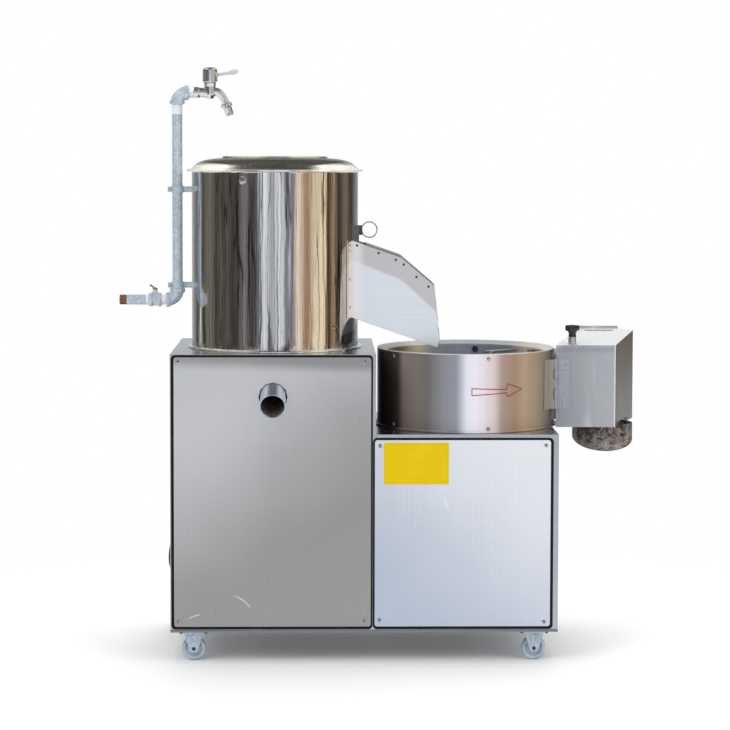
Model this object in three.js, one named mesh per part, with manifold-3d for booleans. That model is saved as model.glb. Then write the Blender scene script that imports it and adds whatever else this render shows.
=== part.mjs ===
// Electric potato peeler with slicing drum, free standing on four casters.
// Millimetres, +Z up, front face towards -Y. Origin on the floor under the middle of the machine.

import * as THREE from 'three';
import { mergeVertices } from 'three/addons/utils/BufferGeometryUtils.js';
import Module from 'manifold-3d';

// Driving dimensions

const cabinetDepth = 420;
const leftCabinetWidth = 418;
const rightCabinetWidth = 372;
const cabinetBottom = 69;
const leftCabinetTop = 633;
const rightCabinetTop = 470;
const drumRadius = 175;
const drumHeight = 372;
const slicerRadius = 187;
const slicerHeight = 163;
const slicerOffset = 8;
const hoodWidth = 125;
const hoodDepth = 171;
const wheelRadius = 25;
const riserOffsetX = -203;
const riserOffsetY = -40;
const riserBottom = 101;
const riserTop = 533;

// Fits and stock

const seat = 0.3;
const overrun = 6;
const sheet = 1.5;
const drumWall = 2;
const seam = 0.6;

// Numbers of facets round a full turn

const drumFacets = 32;
const discFacets = 28;
const turnedFacets = 16;
const pipeFacets = 12;
const smallFacets = 12;
const tinyFacets = 8;

// Finishes

const finish = (color, roughness, metalness) =>
  new THREE.MeshStandardMaterial({ color, roughness, metalness });
const mirrorSteel = finish(0xd6d6d4, 0.06, 1);
const brushedSteel = finish(0xb9babb, 0.34, 1);
const satinSteel = finish(0xc6c9ce, 0.42, 1);
const galvanised = finish(0x9aa6ae, 0.5, 0.9);
const chrome = finish(0xd9dde0, 0.08, 1);
const brass = finish(0xb98a3c, 0.35, 1);
const blackRubber = finish(0x17181a, 0.8, 0);
const blackPlastic = finish(0x1b1c1e, 0.45, 0);
const greyPlastic = finish(0x85888b, 0.5, 0);
const greenPlastic = finish(0x2f8a48, 0.4, 0);
const redPlastic = finish(0xb3261f, 0.4, 0);
const greyRubber = finish(0x8c9298, 0.6, 0);
const emery = finish(0x4a4640, 0.95, 0);
const paintedCast = finish(0x4d6272, 0.5, 0.2);
const mottledSteel = finish(0x5d554d, 0.45, 0.9);
const knifeSteel = finish(0xd0d2d4, 0.18, 1);

// Closed shapes and their joins and cuts

const wasm = await Module();
wasm.setup();

function closedMesh(geometry) {
  const bare = geometry.clone();
  bare.deleteAttribute('normal');
  bare.deleteAttribute('uv');
  const merged = mergeVertices(bare);
  const index = merged.index.array;
  const position = merged.attributes.position;
  const corner = (i) => new THREE.Vector3().fromBufferAttribute(position, i);
  const triangles = [];
  let volume = 0;
  for (let i = 0; i < index.length; i += 3) {
    const [a, b, c] = [index[i], index[i + 1], index[i + 2]];
    if (a === b || b === c || c === a) continue;
    triangles.push(a, b, c);
    volume += corner(a).dot(corner(b).cross(corner(c)));
  }
  if (volume < 0) triangles.reverse();
  return new wasm.Mesh({
    numProp: 3,
    vertProperties: new Float32Array(position.array),
    triVerts: new Uint32Array(triangles),
  });
}

const toSolid = (geometry) => new wasm.Manifold(closedMesh(geometry));

function toGeometry(solid) {
  const mesh = solid.getMesh();
  const geometry = new THREE.BufferGeometry();
  geometry.setAttribute('position', new THREE.BufferAttribute(mesh.vertProperties, 3));
  geometry.setIndex(new THREE.BufferAttribute(mesh.triVerts, 1));
  return geometry;
}

const join = (...parts) => toGeometry(parts.map(toSolid).reduce((whole, part) => whole.add(part)));
const cut = (body, ...tools) =>
  toGeometry(tools.map(toSolid).reduce((whole, tool) => whole.subtract(tool), toSolid(body)));
const common = (body, tool) => toGeometry(toSolid(body).intersect(toSolid(tool)));

// Geometry along the axes; outlines are lists of [across, up] pairs

const degrees = THREE.MathUtils.degToRad;
const vectors = (outline) => outline.map(([a, b]) => new THREE.Vector2(a, b));
const axisX = new THREE.Vector3(1, 0, 0);
const axisY = new THREE.Vector3(0, 1, 0);
const axisZ = new THREE.Vector3(0, 0, 1);

function move(geometry, x, y, z) {
  return geometry.clone().translate(x, y, z);
}

function turn(geometry, angle) {
  return geometry.clone().rotateZ(angle);
}

function slab([x0, y0, z0], [x1, y1, z1]) {
  const box = new THREE.BoxGeometry(x1 - x0, y1 - y0, z1 - z0);
  return box.translate((x0 + x1) / 2, (y0 + y1) / 2, (z0 + z1) / 2);
}

function toShape(outline, holes = []) {
  const shape = new THREE.Shape(vectors(outline));
  holes.forEach((hole) => shape.holes.push(new THREE.Path(vectors(hole))));
  return shape;
}

function upright(outline, z0, z1, holes) {
  const geometry = new THREE.ExtrudeGeometry(toShape(outline, holes), { depth: z1 - z0, bevelEnabled: false });
  return geometry.translate(0, 0, z0);
}

// An outline in X and Z, run from y0 back to y1
function frontal(outline, y0, y1, holes) {
  const basis = new THREE.Matrix4().makeBasis(axisX, axisZ, axisY.clone().negate());
  return upright(outline, -y1, -y0, holes).applyMatrix4(basis);
}

// An outline in Y and Z, run from x0 to x1
function sideways(outline, x0, x1, holes) {
  const basis = new THREE.Matrix4().makeBasis(axisY, axisZ, axisX);
  return upright(outline, x0, x1, holes).applyMatrix4(basis);
}

// A closed profile of [radius, height] pairs, turned round the Z axis
function revolve(profile, facets) {
  const closed = vectors(profile[0][0] === 0 ? profile : [...profile, profile[0]]);
  if (THREE.ShapeUtils.area(closed) < 0) closed.reverse();
  return new THREE.LatheGeometry(closed, facets).rotateX(degrees(90));
}

function rod(radius, z0, z1, facets = smallFacets) {
  return revolve([[0, z0], [radius, z0], [radius, z1], [0, z1]], facets);
}

function pipe(outer, inner, z0, z1, facets = pipeFacets) {
  return revolve([[inner, z0], [outer, z0], [outer, z1], [inner, z1]], facets);
}

function circle(radius, facets, x = 0, y = 0) {
  const points = [];
  for (let i = 0; i < facets; i += 1) {
    const angle = (i * 2 * Math.PI) / facets;
    points.push([x + radius * Math.cos(angle), y + radius * Math.sin(angle)]);
  }
  return points;
}

function arc(radius, from, to, steps, x = 0, y = 0) {
  const points = [];
  for (let i = 0; i <= steps; i += 1) {
    const angle = from + ((to - from) * i) / steps;
    points.push([x + radius * Math.cos(angle), y + radius * Math.sin(angle)]);
  }
  return points;
}

function roundedRectangle(x0, x1, y0, y1, radius, steps = 4) {
  const quarter = degrees(90);
  return [
    ...arc(radius, -quarter, 0, steps, x1 - radius, y0 + radius),
    ...arc(radius, 0, quarter, steps, x1 - radius, y1 - radius),
    ...arc(radius, quarter, 2 * quarter, steps, x0 + radius, y1 - radius),
    ...arc(radius, 2 * quarter, 3 * quarter, steps, x0 + radius, y0 + radius),
  ];
}

// The outline of a sheet of one thickness that follows a line of points, on the line's left hand
function sheetAlong(line, thickness) {
  const points = line.map(([a, b]) => new THREE.Vector2(a, b));
  const normals = points.slice(1).map((point, i) => {
    const along = point.clone().sub(points[i]).normalize();
    return new THREE.Vector2(-along.y, along.x);
  });
  const offset = points.map((point, i) => {
    const before = normals[Math.max(i - 1, 0)];
    const after = normals[Math.min(i, normals.length - 1)];
    const middle = before.clone().add(after).normalize();
    return point.clone().addScaledVector(middle, thickness / middle.dot(before));
  });
  return [...line, ...offset.reverse().map((point) => [point.x, point.y])];
}

// An outline with each side moved inwards by its own distance
function inset(outline, distances) {
  const sides = outline.map(([x, y], i) => {
    const [nextX, nextY] = outline[(i + 1) % outline.length];
    const length = Math.hypot(nextX - x, nextY - y);
    const [nx, ny] = [(y - nextY) / length, (nextX - x) / length];
    return [nx, ny, nx * x + ny * y + distances[i]];
  });
  return sides.map(([a, b, c], i) => {
    const [d, e, f] = sides[(i + sides.length - 1) % sides.length];
    const scale = a * e - b * d;
    return [(c * e - b * f) / scale, (a * f - c * d) / scale];
  });
}

// A sector of a ring, seen from above
function ringSector(outer, inner, from, to, steps) {
  return [...arc(outer, from, to, steps), ...arc(inner, to, from, steps)];
}

function sweep(curve, outline, steps, holes) {
  return new THREE.ExtrudeGeometry(toShape(outline, holes), { steps, extrudePath: curve, bevelEnabled: false });
}

// The scene graph

const machine = new THREE.Group();
const peeler = new THREE.Group();
const slicer = new THREE.Group();
machine.add(peeler, slicer);

function piece(group, name, geometry, material) {
  const flat = geometry.index ? geometry.toNonIndexed() : geometry.clone();
  flat.computeVertexNormals();
  const mesh = new THREE.Mesh(flat, material);
  mesh.name = name;
  group.add(mesh);
  return mesh;
}

const rightCabinetLeft = leftCabinetWidth + seam;
const totalWidth = rightCabinetLeft + rightCabinetWidth;
const peelerX = leftCabinetWidth / 2;
const slicerX = rightCabinetLeft + rightCabinetWidth / 2 + slicerOffset;
const drumY = cabinetDepth / 2;
peeler.position.set(peelerX, drumY, leftCabinetTop);
slicer.position.set(slicerX, drumY, rightCabinetTop);

// Layers of a cabinet's front: panel, rubber edge, flange of the shell

const panelEdge = 8;
const panelJointEdge = 10;
const panelGap = 8;
const rightStrip = 16.6;
const leftPanelTopEdge = 5.5;
const rightPanelTopEdge = 11;
const gasketReach = 6;
const gasketTopReach = 4.2;
const gasketLap = 5;
const gasketThickness = 2.5;
const gasketCorner = 8;
const panelCorner = 5;
const flangeWidth = 22;
const gasketBack = sheet + gasketThickness;

// Base frame of angle iron with a plate under each motor

const railWidth = 40;
const railThickness = 4;
const railHeight = 38;
const railInset = 6;
const motorPlateWidth = 130;
const peelerMotorShare = 0.2273;
const slicerMotorShare = 0.7565;
const motorDepthShare = 0.7143;
const peelerMotorX = peelerMotorShare * leftCabinetWidth;
const slicerMotorX = rightCabinetLeft + slicerMotorShare * rightCabinetWidth;
const motorY = motorDepthShare * cabinetDepth;
const frameBottom = cabinetBottom - railThickness;

function baseFrame() {
  const middle = leftCabinetWidth;
  const bay = (x0, x1) =>
    slab([x0, railWidth, frameBottom - overrun], [x1, cabinetDepth - railWidth, frameBottom + railHeight + overrun]);
  const foot = slab([0, 0, frameBottom], [totalWidth, cabinetDepth, cabinetBottom]);
  const [x0, x1] = [railInset, totalWidth - railInset];
  const [y0, y1] = [railInset, cabinetDepth - railInset];
  const top = frameBottom + railHeight;
  const upstand = cut(
    slab([x0, y0, frameBottom], [x1, y1, top]),
    slab(
      [x0 + railThickness, y0 + railThickness, frameBottom - overrun],
      [x1 - railThickness, y1 - railThickness, top + overrun]
    ),
    slab([middle - railInset, 0, cabinetBottom], [middle + railInset, cabinetDepth, top + overrun])
  );
  const motorPlate = (x) =>
    slab([x - motorPlateWidth / 2, railWidth / 2, frameBottom], [x + motorPlateWidth / 2, y1, cabinetBottom]);
  const rails = cut(
    foot,
    bay(railWidth, middle - railWidth / 2),
    bay(middle + railWidth / 2, totalWidth - railWidth)
  );
  return join(rails, upstand, motorPlate(peelerMotorX), motorPlate(slicerMotorX));
}
piece(machine, 'base_frame', baseFrame(), brushedSteel);

// Cabinet shells: walls and deck, with a folded flange round the front and back openings

function cabinetShell(x0, width, top, deckHoles) {
  const x1 = x0 + width;
  const [y0, y1] = [gasketBack, cabinetDepth - sheet];
  const outer = slab([x0, y0, cabinetBottom], [x1, y1, top]);
  const inside = slab([x0 + sheet, y0 + sheet, cabinetBottom - overrun], [x1 - sheet, y1 - sheet, top - sheet]);
  const mouth = slab(
    [x0 + flangeWidth, y0 - overrun, cabinetBottom + flangeWidth],
    [x1 - flangeWidth, y1 + overrun, top - flangeWidth]
  );
  return cut(outer, inside, mouth, ...deckHoles);
}

const sumpRadius = 150;
const holeClearance = 1;
const housingRadius = 29;
const peelerDeckHole = move(
  rod(sumpRadius + holeClearance, -overrun, overrun, drumFacets), peelerX, drumY, leftCabinetTop
);
const slicerDeckHole = move(
  rod(housingRadius + holeClearance, -overrun, overrun, turnedFacets), slicerX, drumY, rightCabinetTop
);
const leftShell = cabinetShell(0, leftCabinetWidth, leftCabinetTop, [peelerDeckHole]);
const rightShell = cabinetShell(rightCabinetLeft, rightCabinetWidth, rightCabinetTop, [slicerDeckHole]);
piece(machine, 'left_cabinet', leftShell, brushedSteel);
piece(machine, 'right_cabinet', rightShell, brushedSteel);

// Drain pipe: slopes down from the sump and out through the left front panel

const drainRadius = 26;
const drainWall = 2;
const drainSlope = degrees(20);
const drainDrop = 86;
const drainReach = 42;
const drainHoleRadius = 29.5;
const drainInside = 12;

// Turns a piece modelled along +Z so that it lies on the drain's axis, zero at the panel's face
function onDrainAxis(geometry) {
  return geometry.rotateX(degrees(90) + drainSlope).translate(0, -drumY, -drainDrop);
}

function drainPipe() {
  const length = (drumY - sumpRadius) / Math.cos(drainSlope) + drainInside;
  const reach = drainReach / Math.cos(drainSlope);
  return onDrainAxis(pipe(drainRadius, drainRadius - drainWall, -length, reach, pipeFacets));
}
piece(peeler, 'drain_pipe', drainPipe(), brushedSteel);

// Front panels with their rubber edges

// Each panel's edges: left, right, bottom, top
const panelBottom = cabinetBottom + panelEdge;
const leftPanelRight = leftCabinetWidth - panelJointEdge;
const leftPanel = [panelEdge, leftPanelRight, panelBottom, leftCabinetTop - leftPanelTopEdge];
const rightPanel = [
  leftPanelRight + panelGap, totalWidth - rightStrip, panelBottom, rightCabinetTop - rightPanelTopEdge,
];

function panelPlate(edges, holes) {
  const [x0, x1, z0, z1] = edges;
  return frontal(roundedRectangle(x0, x1, z0, z1, panelCorner), 0, sheet, holes);
}

function gasketRing([x0, x1, z0, z1], left, right) {
  const outline = roundedRectangle(x0 - left, x1 + right, z0 - gasketReach, z1 + gasketTopReach, gasketCorner);
  const inner = roundedRectangle(
    x0 + gasketLap, x1 - gasketLap, z0 + gasketLap, z1 - gasketLap, panelCorner
  );
  return frontal(outline, sheet, gasketBack, [inner]);
}

const jointReach = (panelGap - seam) / 2;
const drainHole = circle(drainHoleRadius, pipeFacets, peelerX, leftCabinetTop - drainDrop);
piece(machine, 'left_front_panel', panelPlate(leftPanel, [drainHole]), brushedSteel);
piece(machine, 'right_front_panel', panelPlate(rightPanel), brushedSteel);
piece(machine, 'left_gasket', gasketRing(leftPanel, gasketReach, jointReach), blackRubber);
piece(machine, 'right_gasket', gasketRing(rightPanel, jointReach, gasketReach), blackRubber);

// Rear panels with rows of louvres that let the motors breathe

const louvreLength = 90;
const louvreHeight = 9;
const louvrePitch = 26;
const louvreArcSteps = 2;
const louvreFoot = 70;
const louvreColumnGap = 40;
const rearPanelEdge = 6;

function louvreHood(x, z) {
  const dome = (radius, drop) => [
    [cabinetDepth - sheet / 2, z - drop],
    ...arc(radius, 0, degrees(90), louvreArcSteps, cabinetDepth - sheet / 2, z),
    [cabinetDepth - sheet - drop, z + radius],
    [cabinetDepth - sheet - drop, z - drop],
  ];
  const outer = [...arc(louvreHeight, 0, degrees(90), louvreArcSteps, cabinetDepth - sheet / 2, z)];
  const hood = sideways(
    [[cabinetDepth - sheet / 2, z], ...outer], x - louvreLength / 2, x + louvreLength / 2
  );
  const hollow = sideways(
    dome(louvreHeight - sheet, overrun), x - louvreLength / 2 + sheet, x + louvreLength / 2 - sheet
  );
  return { hood, hollow };
}

function rearPanel(x0, width, top, rows) {
  const [left, right] = [x0 + rearPanelEdge, x0 + width - rearPanelEdge];
  const outline = roundedRectangle(
    left, right, cabinetBottom + rearPanelEdge, top - rearPanelEdge, panelCorner
  );
  const middle = (left + right) / 2;
  const spots = [];
  for (let row = 0; row < rows; row += 1) {
    for (const side of [-1, 1]) {
      const x = middle + (side * (louvreLength + louvreColumnGap)) / 2;
      spots.push(louvreHood(x, cabinetBottom + louvreFoot + row * louvrePitch));
    }
  }
  const plate = frontal(outline, cabinetDepth - sheet, cabinetDepth);
  return cut(join(plate, ...spots.map((spot) => spot.hood)), ...spots.map((spot) => spot.hollow));
}
piece(machine, 'left_rear_panel', rearPanel(0, leftCabinetWidth, leftCabinetTop, 3), brushedSteel);
piece(
  machine, 'right_rear_panel', rearPanel(rightCabinetLeft, rightCabinetWidth, rightCabinetTop, 2), brushedSteel
);

// Casters: pressed bracket with its axle pin, and a wheel with a rounded tread

const casterInsetX = 46;
const casterInsetY = 44;
const wheelWidth = 20;
const axleRadius = 4;
const axleClearance = 0.4;
const wheelSideGap = 2;
const treadRound = 4;
const wheelShares = [0.45, 0.72];
const casterPlateLength = 63;
const casterPlateWidth = 52;
const casterSheet = 2.5;
const forkTopWidth = 43;
const forkBottomWidth = 18;
const pressingWidth = 15;
const pressingHeight = 17;
const pressingDepth = 1.2;

function casterBracket() {
  const plateTop = frameBottom - seat;
  const plateBottom = plateTop - casterSheet;
  const plate = slab(
    [-casterPlateLength / 2, -casterPlateWidth / 2, plateBottom],
    [casterPlateLength / 2, casterPlateWidth / 2, plateTop]
  );
  const inner = wheelWidth / 2 + wheelSideGap;
  const outer = inner + casterSheet;
  const cheek = [
    [-forkTopWidth / 2, plateBottom + casterSheet / 2],
    ...arc(forkBottomWidth / 2, degrees(180), degrees(360), 4, 0, wheelRadius),
    [forkTopWidth / 2, plateBottom + casterSheet / 2],
  ];
  const pressing = circle(pressingWidth / 2, tinyFacets).map(([x, z]) => [
    x, (z * pressingHeight) / pressingWidth + (wheelRadius + plateBottom) / 2 + casterSheet,
  ]);
  const pin = frontal(circle(axleRadius, tinyFacets, 0, wheelRadius), -outer - casterSheet / 2, outer + casterSheet / 2);
  return join(
    plate,
    frontal(cheek, -outer, -inner),
    frontal(cheek, inner, outer),
    frontal(pressing, -outer - pressingDepth, -inner),
    frontal(pressing, inner, outer + pressingDepth),
    pin
  );
}

function casterWheel() {
  const [web, rim] = wheelShares.map((share) => share * wheelRadius);
  const half = wheelWidth / 2;
  const dish = half / 2;
  const bore = axleRadius + axleClearance;
  const profile = [
    [bore, -half], [web, -half + dish], [rim, -half], [wheelRadius - treadRound, -half],
    [wheelRadius, -half + treadRound], [wheelRadius, half - treadRound], [wheelRadius - treadRound, half],
    [rim, half], [web, half - dish], [bore, half],
  ];
  return revolve(profile, turnedFacets).rotateX(degrees(90));
}

const casterPlaces = [
  ['front_left', casterInsetX, casterInsetY],
  ['front_right', totalWidth - casterInsetX, casterInsetY],
  ['rear_left', casterInsetX, cabinetDepth - casterInsetY],
  ['rear_right', totalWidth - casterInsetX, cabinetDepth - casterInsetY],
];
for (const [place, x, y] of casterPlaces) {
  const caster = new THREE.Group();
  caster.position.set(x, y, 0);
  machine.add(caster);
  piece(caster, `${place}_caster_bracket`, casterBracket(), galvanised);
  piece(caster, `${place}_wheel`, casterWheel(), greyRubber).position.z = wheelRadius;
}

// Peeling drum: flanged shell with a sump below the deck, gate window, gate guides and drain hole

const drumFlangeRadius = 184;
const drumFlangeThickness = 3;
const rimRadius = 178;
const rimHeight = 4;
const sumpDepth = 100;
const hubCollarRadius = 31;
const hubCollarHeight = 32;
const windowHalfWidth = 55;
const windowBottom = 70;
const windowTop = 174;
const chuteHalfWidth = 70;
const guideSheet = 2;
const guideReach = 176;
const guideLipWidth = 10;
const guideBottom = 69;
const guideTop = 258;

function gateGuides() {
  const guides = [];
  for (const side of [-1, 1]) {
    const outer = chuteHalfWidth - sheet - seat;
    const wallX = Math.sqrt((drumRadius - drumWall / 2) ** 2 - outer ** 2);
    const span = (from, to) => [Math.min(side * from, side * to), Math.max(side * from, side * to)];
    const [y0, y1] = span(outer - guideSheet, outer);
    const [lip0, lip1] = span(outer - guideLipWidth, outer);
    guides.push(slab([wallX, y0, guideBottom], [guideReach, y1, guideTop]));
    guides.push(slab([guideReach - guideSheet, lip0, guideBottom], [guideReach, lip1, guideTop]));
  }
  return guides;
}

function windowTool() {
  return slab(
    [drumRadius / 2, -windowHalfWidth, windowBottom],
    [drumRadius + overrun, windowHalfWidth, windowTop]
  );
}

function peelerDrum() {
  const inner = drumRadius - drumWall;
  const ledge = seat + drumFlangeThickness;
  const rimTop = drumHeight;
  const profile = [
    [hubCollarRadius, -sumpDepth], [sumpRadius, -sumpDepth], [sumpRadius, seat], [drumFlangeRadius, seat],
    [drumFlangeRadius, ledge], [drumRadius, ledge], [drumRadius, rimTop - rimHeight],
    [rimRadius, rimTop - (rimHeight * 3) / 4], [rimRadius, rimTop - rimHeight / 4],
    [drumRadius, rimTop], [inner, rimTop - rimHeight / 4],
    [inner, ledge], [sumpRadius - drumWall, ledge - drumWall / 2], [sumpRadius - drumWall, -sumpDepth + drumWall],
    [hubCollarRadius + drumWall, -sumpDepth + drumWall],
    [hubCollarRadius + drumWall, -sumpDepth + hubCollarHeight],
    [hubCollarRadius, -sumpDepth + hubCollarHeight],
  ];
  const drainTool = onDrainAxis(rod(drainRadius + seat, -drumY, 0, pipeFacets));
  return cut(join(revolve(profile, drumFacets), ...gateGuides()), windowTool(), drainTool);
}
piece(peeler, 'peeler_drum', peelerDrum(), mirrorSteel);

// Abrasive liner inside the drum, with the same window

const linerThickness = 4;
const linerBottom = 22;
const linerTop = 320;

function drumLiner() {
  const outer = drumRadius - drumWall - seat;
  return cut(pipe(outer, outer - linerThickness, linerBottom, linerTop, drumFacets), windowTool());
}
piece(peeler, 'drum_liner', drumLiner(), emery);

// Splash lid: domed ring with a raised collar round the filling opening

const lidRadius = 185;
const lidSkirt = 3;
const lidCollarRadius = 110;
const lidCollarHeight = 4;
const lidShares = [[0.95, 0], [0.9, 0.42], [0.81, 0.74]];
const lidRise = 25;

function splashLid() {
  const foot = drumHeight + seat;
  const dome = lidShares.map(([out, up]) => [out * lidRadius, foot + sheet + up * lidRise]);
  const line = [
    [lidRadius, foot - lidSkirt], [lidRadius, foot + sheet], ...dome,
    [lidCollarRadius, foot + lidRise],
    [lidCollarRadius - sheet, foot + lidRise + lidCollarHeight],
  ];
  return revolve(sheetAlong(line, sheet), drumFacets);
}
piece(peeler, 'splash_lid', splashLid(), mirrorSteel);

// Spindle bearings in a flanged housing under the sump

const shaftRadius = 15;
const housingFlangeRadius = 65;
const housingFlangeThickness = 10;
const housingLength = 110;

function bearingHousing(top, neck, length, radius, bore) {
  const profile = [
    [bore, top - length], [radius, top - length], [radius, top - housingFlangeThickness],
    [housingFlangeRadius, top - housingFlangeThickness], [housingFlangeRadius, top],
    [radius, top], [radius, top + neck], [bore, top + neck],
  ];
  return revolve(profile, turnedFacets);
}
const peelerHousingTop = -sumpDepth - seat;
piece(
  peeler, 'peeler_bearing_housing',
  bearingHousing(peelerHousingTop, hubCollarHeight, housingLength, housingRadius, shaftRadius + seat), paintedCast
);

// Pulleys with one V groove

const beltWidth = 10;
const beltDepth = 8;
const grooveClearance = 0.4;
const pulleyFlange = 4;
const bigPulleyRadius = 70;
const smallPulleyRadius = 36;
const bigWrapSteps = 12;
const smallWrapSteps = 7;

function pulleyProfile(radius, shaft, base) {
  const groove = beltWidth / 2 + grooveClearance;
  const width = 2 * (groove + pulleyFlange);
  return [
    [shaft, base], [radius, base], [radius, base + pulleyFlange], [radius - beltDepth, base + pulleyFlange],
    [radius - beltDepth, base + width - pulleyFlange], [radius, base + width - pulleyFlange],
    [radius, base + width], [shaft, base + width],
  ];
}
const pulleyWidth = beltWidth + 2 * (grooveClearance + pulleyFlange);

// A spindle carries its pulley just below the bearing housing
function spindle(top, housingBottom, radius) {
  const pulleyTop = housingBottom - seat;
  const base = pulleyTop - pulleyWidth;
  const pulley = pulleyProfile(bigPulleyRadius, radius, base).slice(1, -1);
  const profile = [
    [0, base - overrun], [radius, base - overrun], [radius, base], ...pulley, [radius, pulleyTop], [radius, top],
    [0, top],
  ];
  return revolve(profile, turnedFacets);
}

const discBottom = 12;
const discThickness = 8;
const discRunningGap = 4;
const discHubRadius = 38;
const discHubHeight = 26;
const shaftEntry = 14;
const waveCount = 4;
const waveHeight = 12;
const waveWidth = 34;
const wiperHeight = 22;
const wiperThickness = 3;

const peelerPulleyTop = peelerHousingTop - housingLength - seat;
piece(
  peeler, 'peeler_spindle',
  spindle(discBottom + shaftEntry, peelerHousingTop - housingLength, shaftRadius), galvanised
);

// Abrasive peeling disc: waves on top that throw the potatoes, wipers below that sweep the sump

function peelingDisc() {
  const radius = drumRadius - drumWall - linerThickness - discRunningGap;
  const top = discBottom + discThickness;
  const socket = shaftRadius + seat;
  const profile = [
    [0, discBottom + shaftEntry + seat], [socket, discBottom + shaftEntry + seat], [socket, discBottom],
    [radius, discBottom], [radius, top], [discHubRadius, top], [discHubRadius / 2, top + discHubHeight],
    [0, top + discHubHeight],
  ];
  const start = discHubRadius / 2;
  const wave = sideways(
    [...arc(waveWidth / 2, 0, degrees(180), 6, 0, 0)].map(([y, z]) => [y, top + (z * 2 * waveHeight) / waveWidth]),
    start, radius - discRunningGap
  );
  const sunk = move(wave, 0, 0, -seat);
  const wiper = slab(
    [hubCollarRadius + 2 * drumWall, -wiperThickness / 2, discBottom - wiperHeight],
    [sumpRadius - 2 * drumWall - discRunningGap, wiperThickness / 2, discBottom + seat]
  );
  const waves = [];
  for (let i = 0; i < waveCount; i += 1) waves.push(turn(sunk, (i * 2 * Math.PI) / waveCount));
  return join(revolve(profile, discFacets), ...waves, wiper, turn(wiper, Math.PI));
}
piece(peeler, 'peeling_disc', peelingDisc(), emery);

// Motors stand on the base frame's plates with the shaft upwards

const finCount = 10;
const finDepth = 5;
const finShare = 0.45;
const motorFlangeThickness = 10;
const motorBellHeight = 22;
const motorBellShare = 0.86;
const motorShaftRadius = 10;
const motorSocket = 40;
const terminalBoxWidth = 70;
const terminalBoxHeight = 60;
const terminalBoxReach = 30;

function finnedOutline(radius) {
  const points = [];
  const pitch = (2 * Math.PI) / finCount;
  for (let i = 0; i < finCount; i += 1) {
    const start = i * pitch;
    const end = start + finShare * pitch;
    const polar = (r, angle) => [r * Math.cos(angle), r * Math.sin(angle)];
    points.push(polar(radius - finDepth, start), polar(radius, start));
    points.push(polar(radius, end), polar(radius - finDepth, end));
  }
  return points;
}

function motor(radius, top) {
  const foot = cabinetBottom;
  const flange = rod(radius, foot, foot + motorFlangeThickness, turnedFacets);
  const bodyTop = top - motorBellHeight;
  const body = upright(finnedOutline(radius), foot + motorFlangeThickness / 2, bodyTop);
  const bell = revolve([
    [0, bodyTop - overrun], [radius - finDepth, bodyTop - overrun], [radius - finDepth, bodyTop],
    [motorBellShare * radius, top], [0, top],
  ], turnedFacets);
  const box = slab(
    [-terminalBoxWidth / 2, -radius - terminalBoxReach, (foot + bodyTop - terminalBoxHeight) / 2],
    [terminalBoxWidth / 2, -radius + finDepth * 2, (foot + bodyTop + terminalBoxHeight) / 2]
  );
  const bore = rod(motorShaftRadius + seat, top - motorSocket - seat, top + overrun, turnedFacets);
  return cut(join(flange, body, bell, box), bore);
}

// The motor's shaft and pulley, at the height of the spindle's pulley
function motorPulley(top, base) {
  const pulley = pulleyProfile(smallPulleyRadius, motorShaftRadius, base).slice(1, -1);
  const profile = [
    [0, top - motorSocket], [motorShaftRadius, top - motorSocket], [motorShaftRadius, base], ...pulley,
    [motorShaftRadius, base + pulleyWidth], [motorShaftRadius, base + pulleyWidth + overrun],
    [0, base + pulleyWidth + overrun],
  ];
  return revolve(profile, turnedFacets);
}

// The belt runs round both pulleys: an outline of two arcs and their outer tangents
function beltAround(from, to, base) {
  const across = new THREE.Vector2(to[0] - from[0], to[1] - from[1]);
  const heading = across.angle();
  const quarter = degrees(90);
  const lean = Math.asin((bigPulleyRadius - smallPulleyRadius) / across.length());
  const loop = (offset) => {
    const run = (radius, first, last, steps, centre) => {
      const flats = Math.cos((last - first) / steps / 2);
      return arc((radius - beltDepth + grooveClearance) / flats + offset, first, last, steps, ...centre);
    };
    return [
      ...run(bigPulleyRadius, heading + quarter - lean, heading + 3 * quarter + lean, bigWrapSteps, from),
      ...run(smallPulleyRadius, heading - quarter + lean, heading + quarter - lean, smallWrapSteps, to),
    ];
  };
  return upright(loop(beltDepth), base, base + beltWidth, [loop(0)]);
}

const peelerMotorRadius = 68;
const slicerMotorRadius = 58;
const motorToPulley = 8;

function drive(label, motorX, motorY, radius, drumX, pulleyTop) {
  const base = pulleyTop - pulleyWidth;
  const top = base - motorToPulley;
  const group = new THREE.Group();
  group.position.set(motorX, motorY, 0);
  machine.add(group);
  piece(group, `${label}_motor`, motor(radius, top), paintedCast);
  piece(group, `${label}_motor_pulley`, motorPulley(top, base), galvanised);
  const belt = beltAround([drumX, drumY], [motorX, motorY], base + pulleyFlange + grooveClearance);
  piece(machine, `${label}_belt`, belt, blackRubber);
}
drive('peeler', peelerMotorX, motorY, peelerMotorRadius, peelerX, leftCabinetTop + peelerPulleyTop);

// Discharge gate: curved plate that slides up in the drum's guides, with its pull ring

const gateClearance = 0.4;
const gateThickness = 2;
const gateBottom = 68;
const gateTop = 256;
const gateHalfWidth = 65.6;
const gateTabReach = 7;
const gateTabHeight = 20;
const gateTabWidth = 26;
const ringRadius = 16.3;
const ringWire = 2.6;
const ringDrop = 9;

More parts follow.
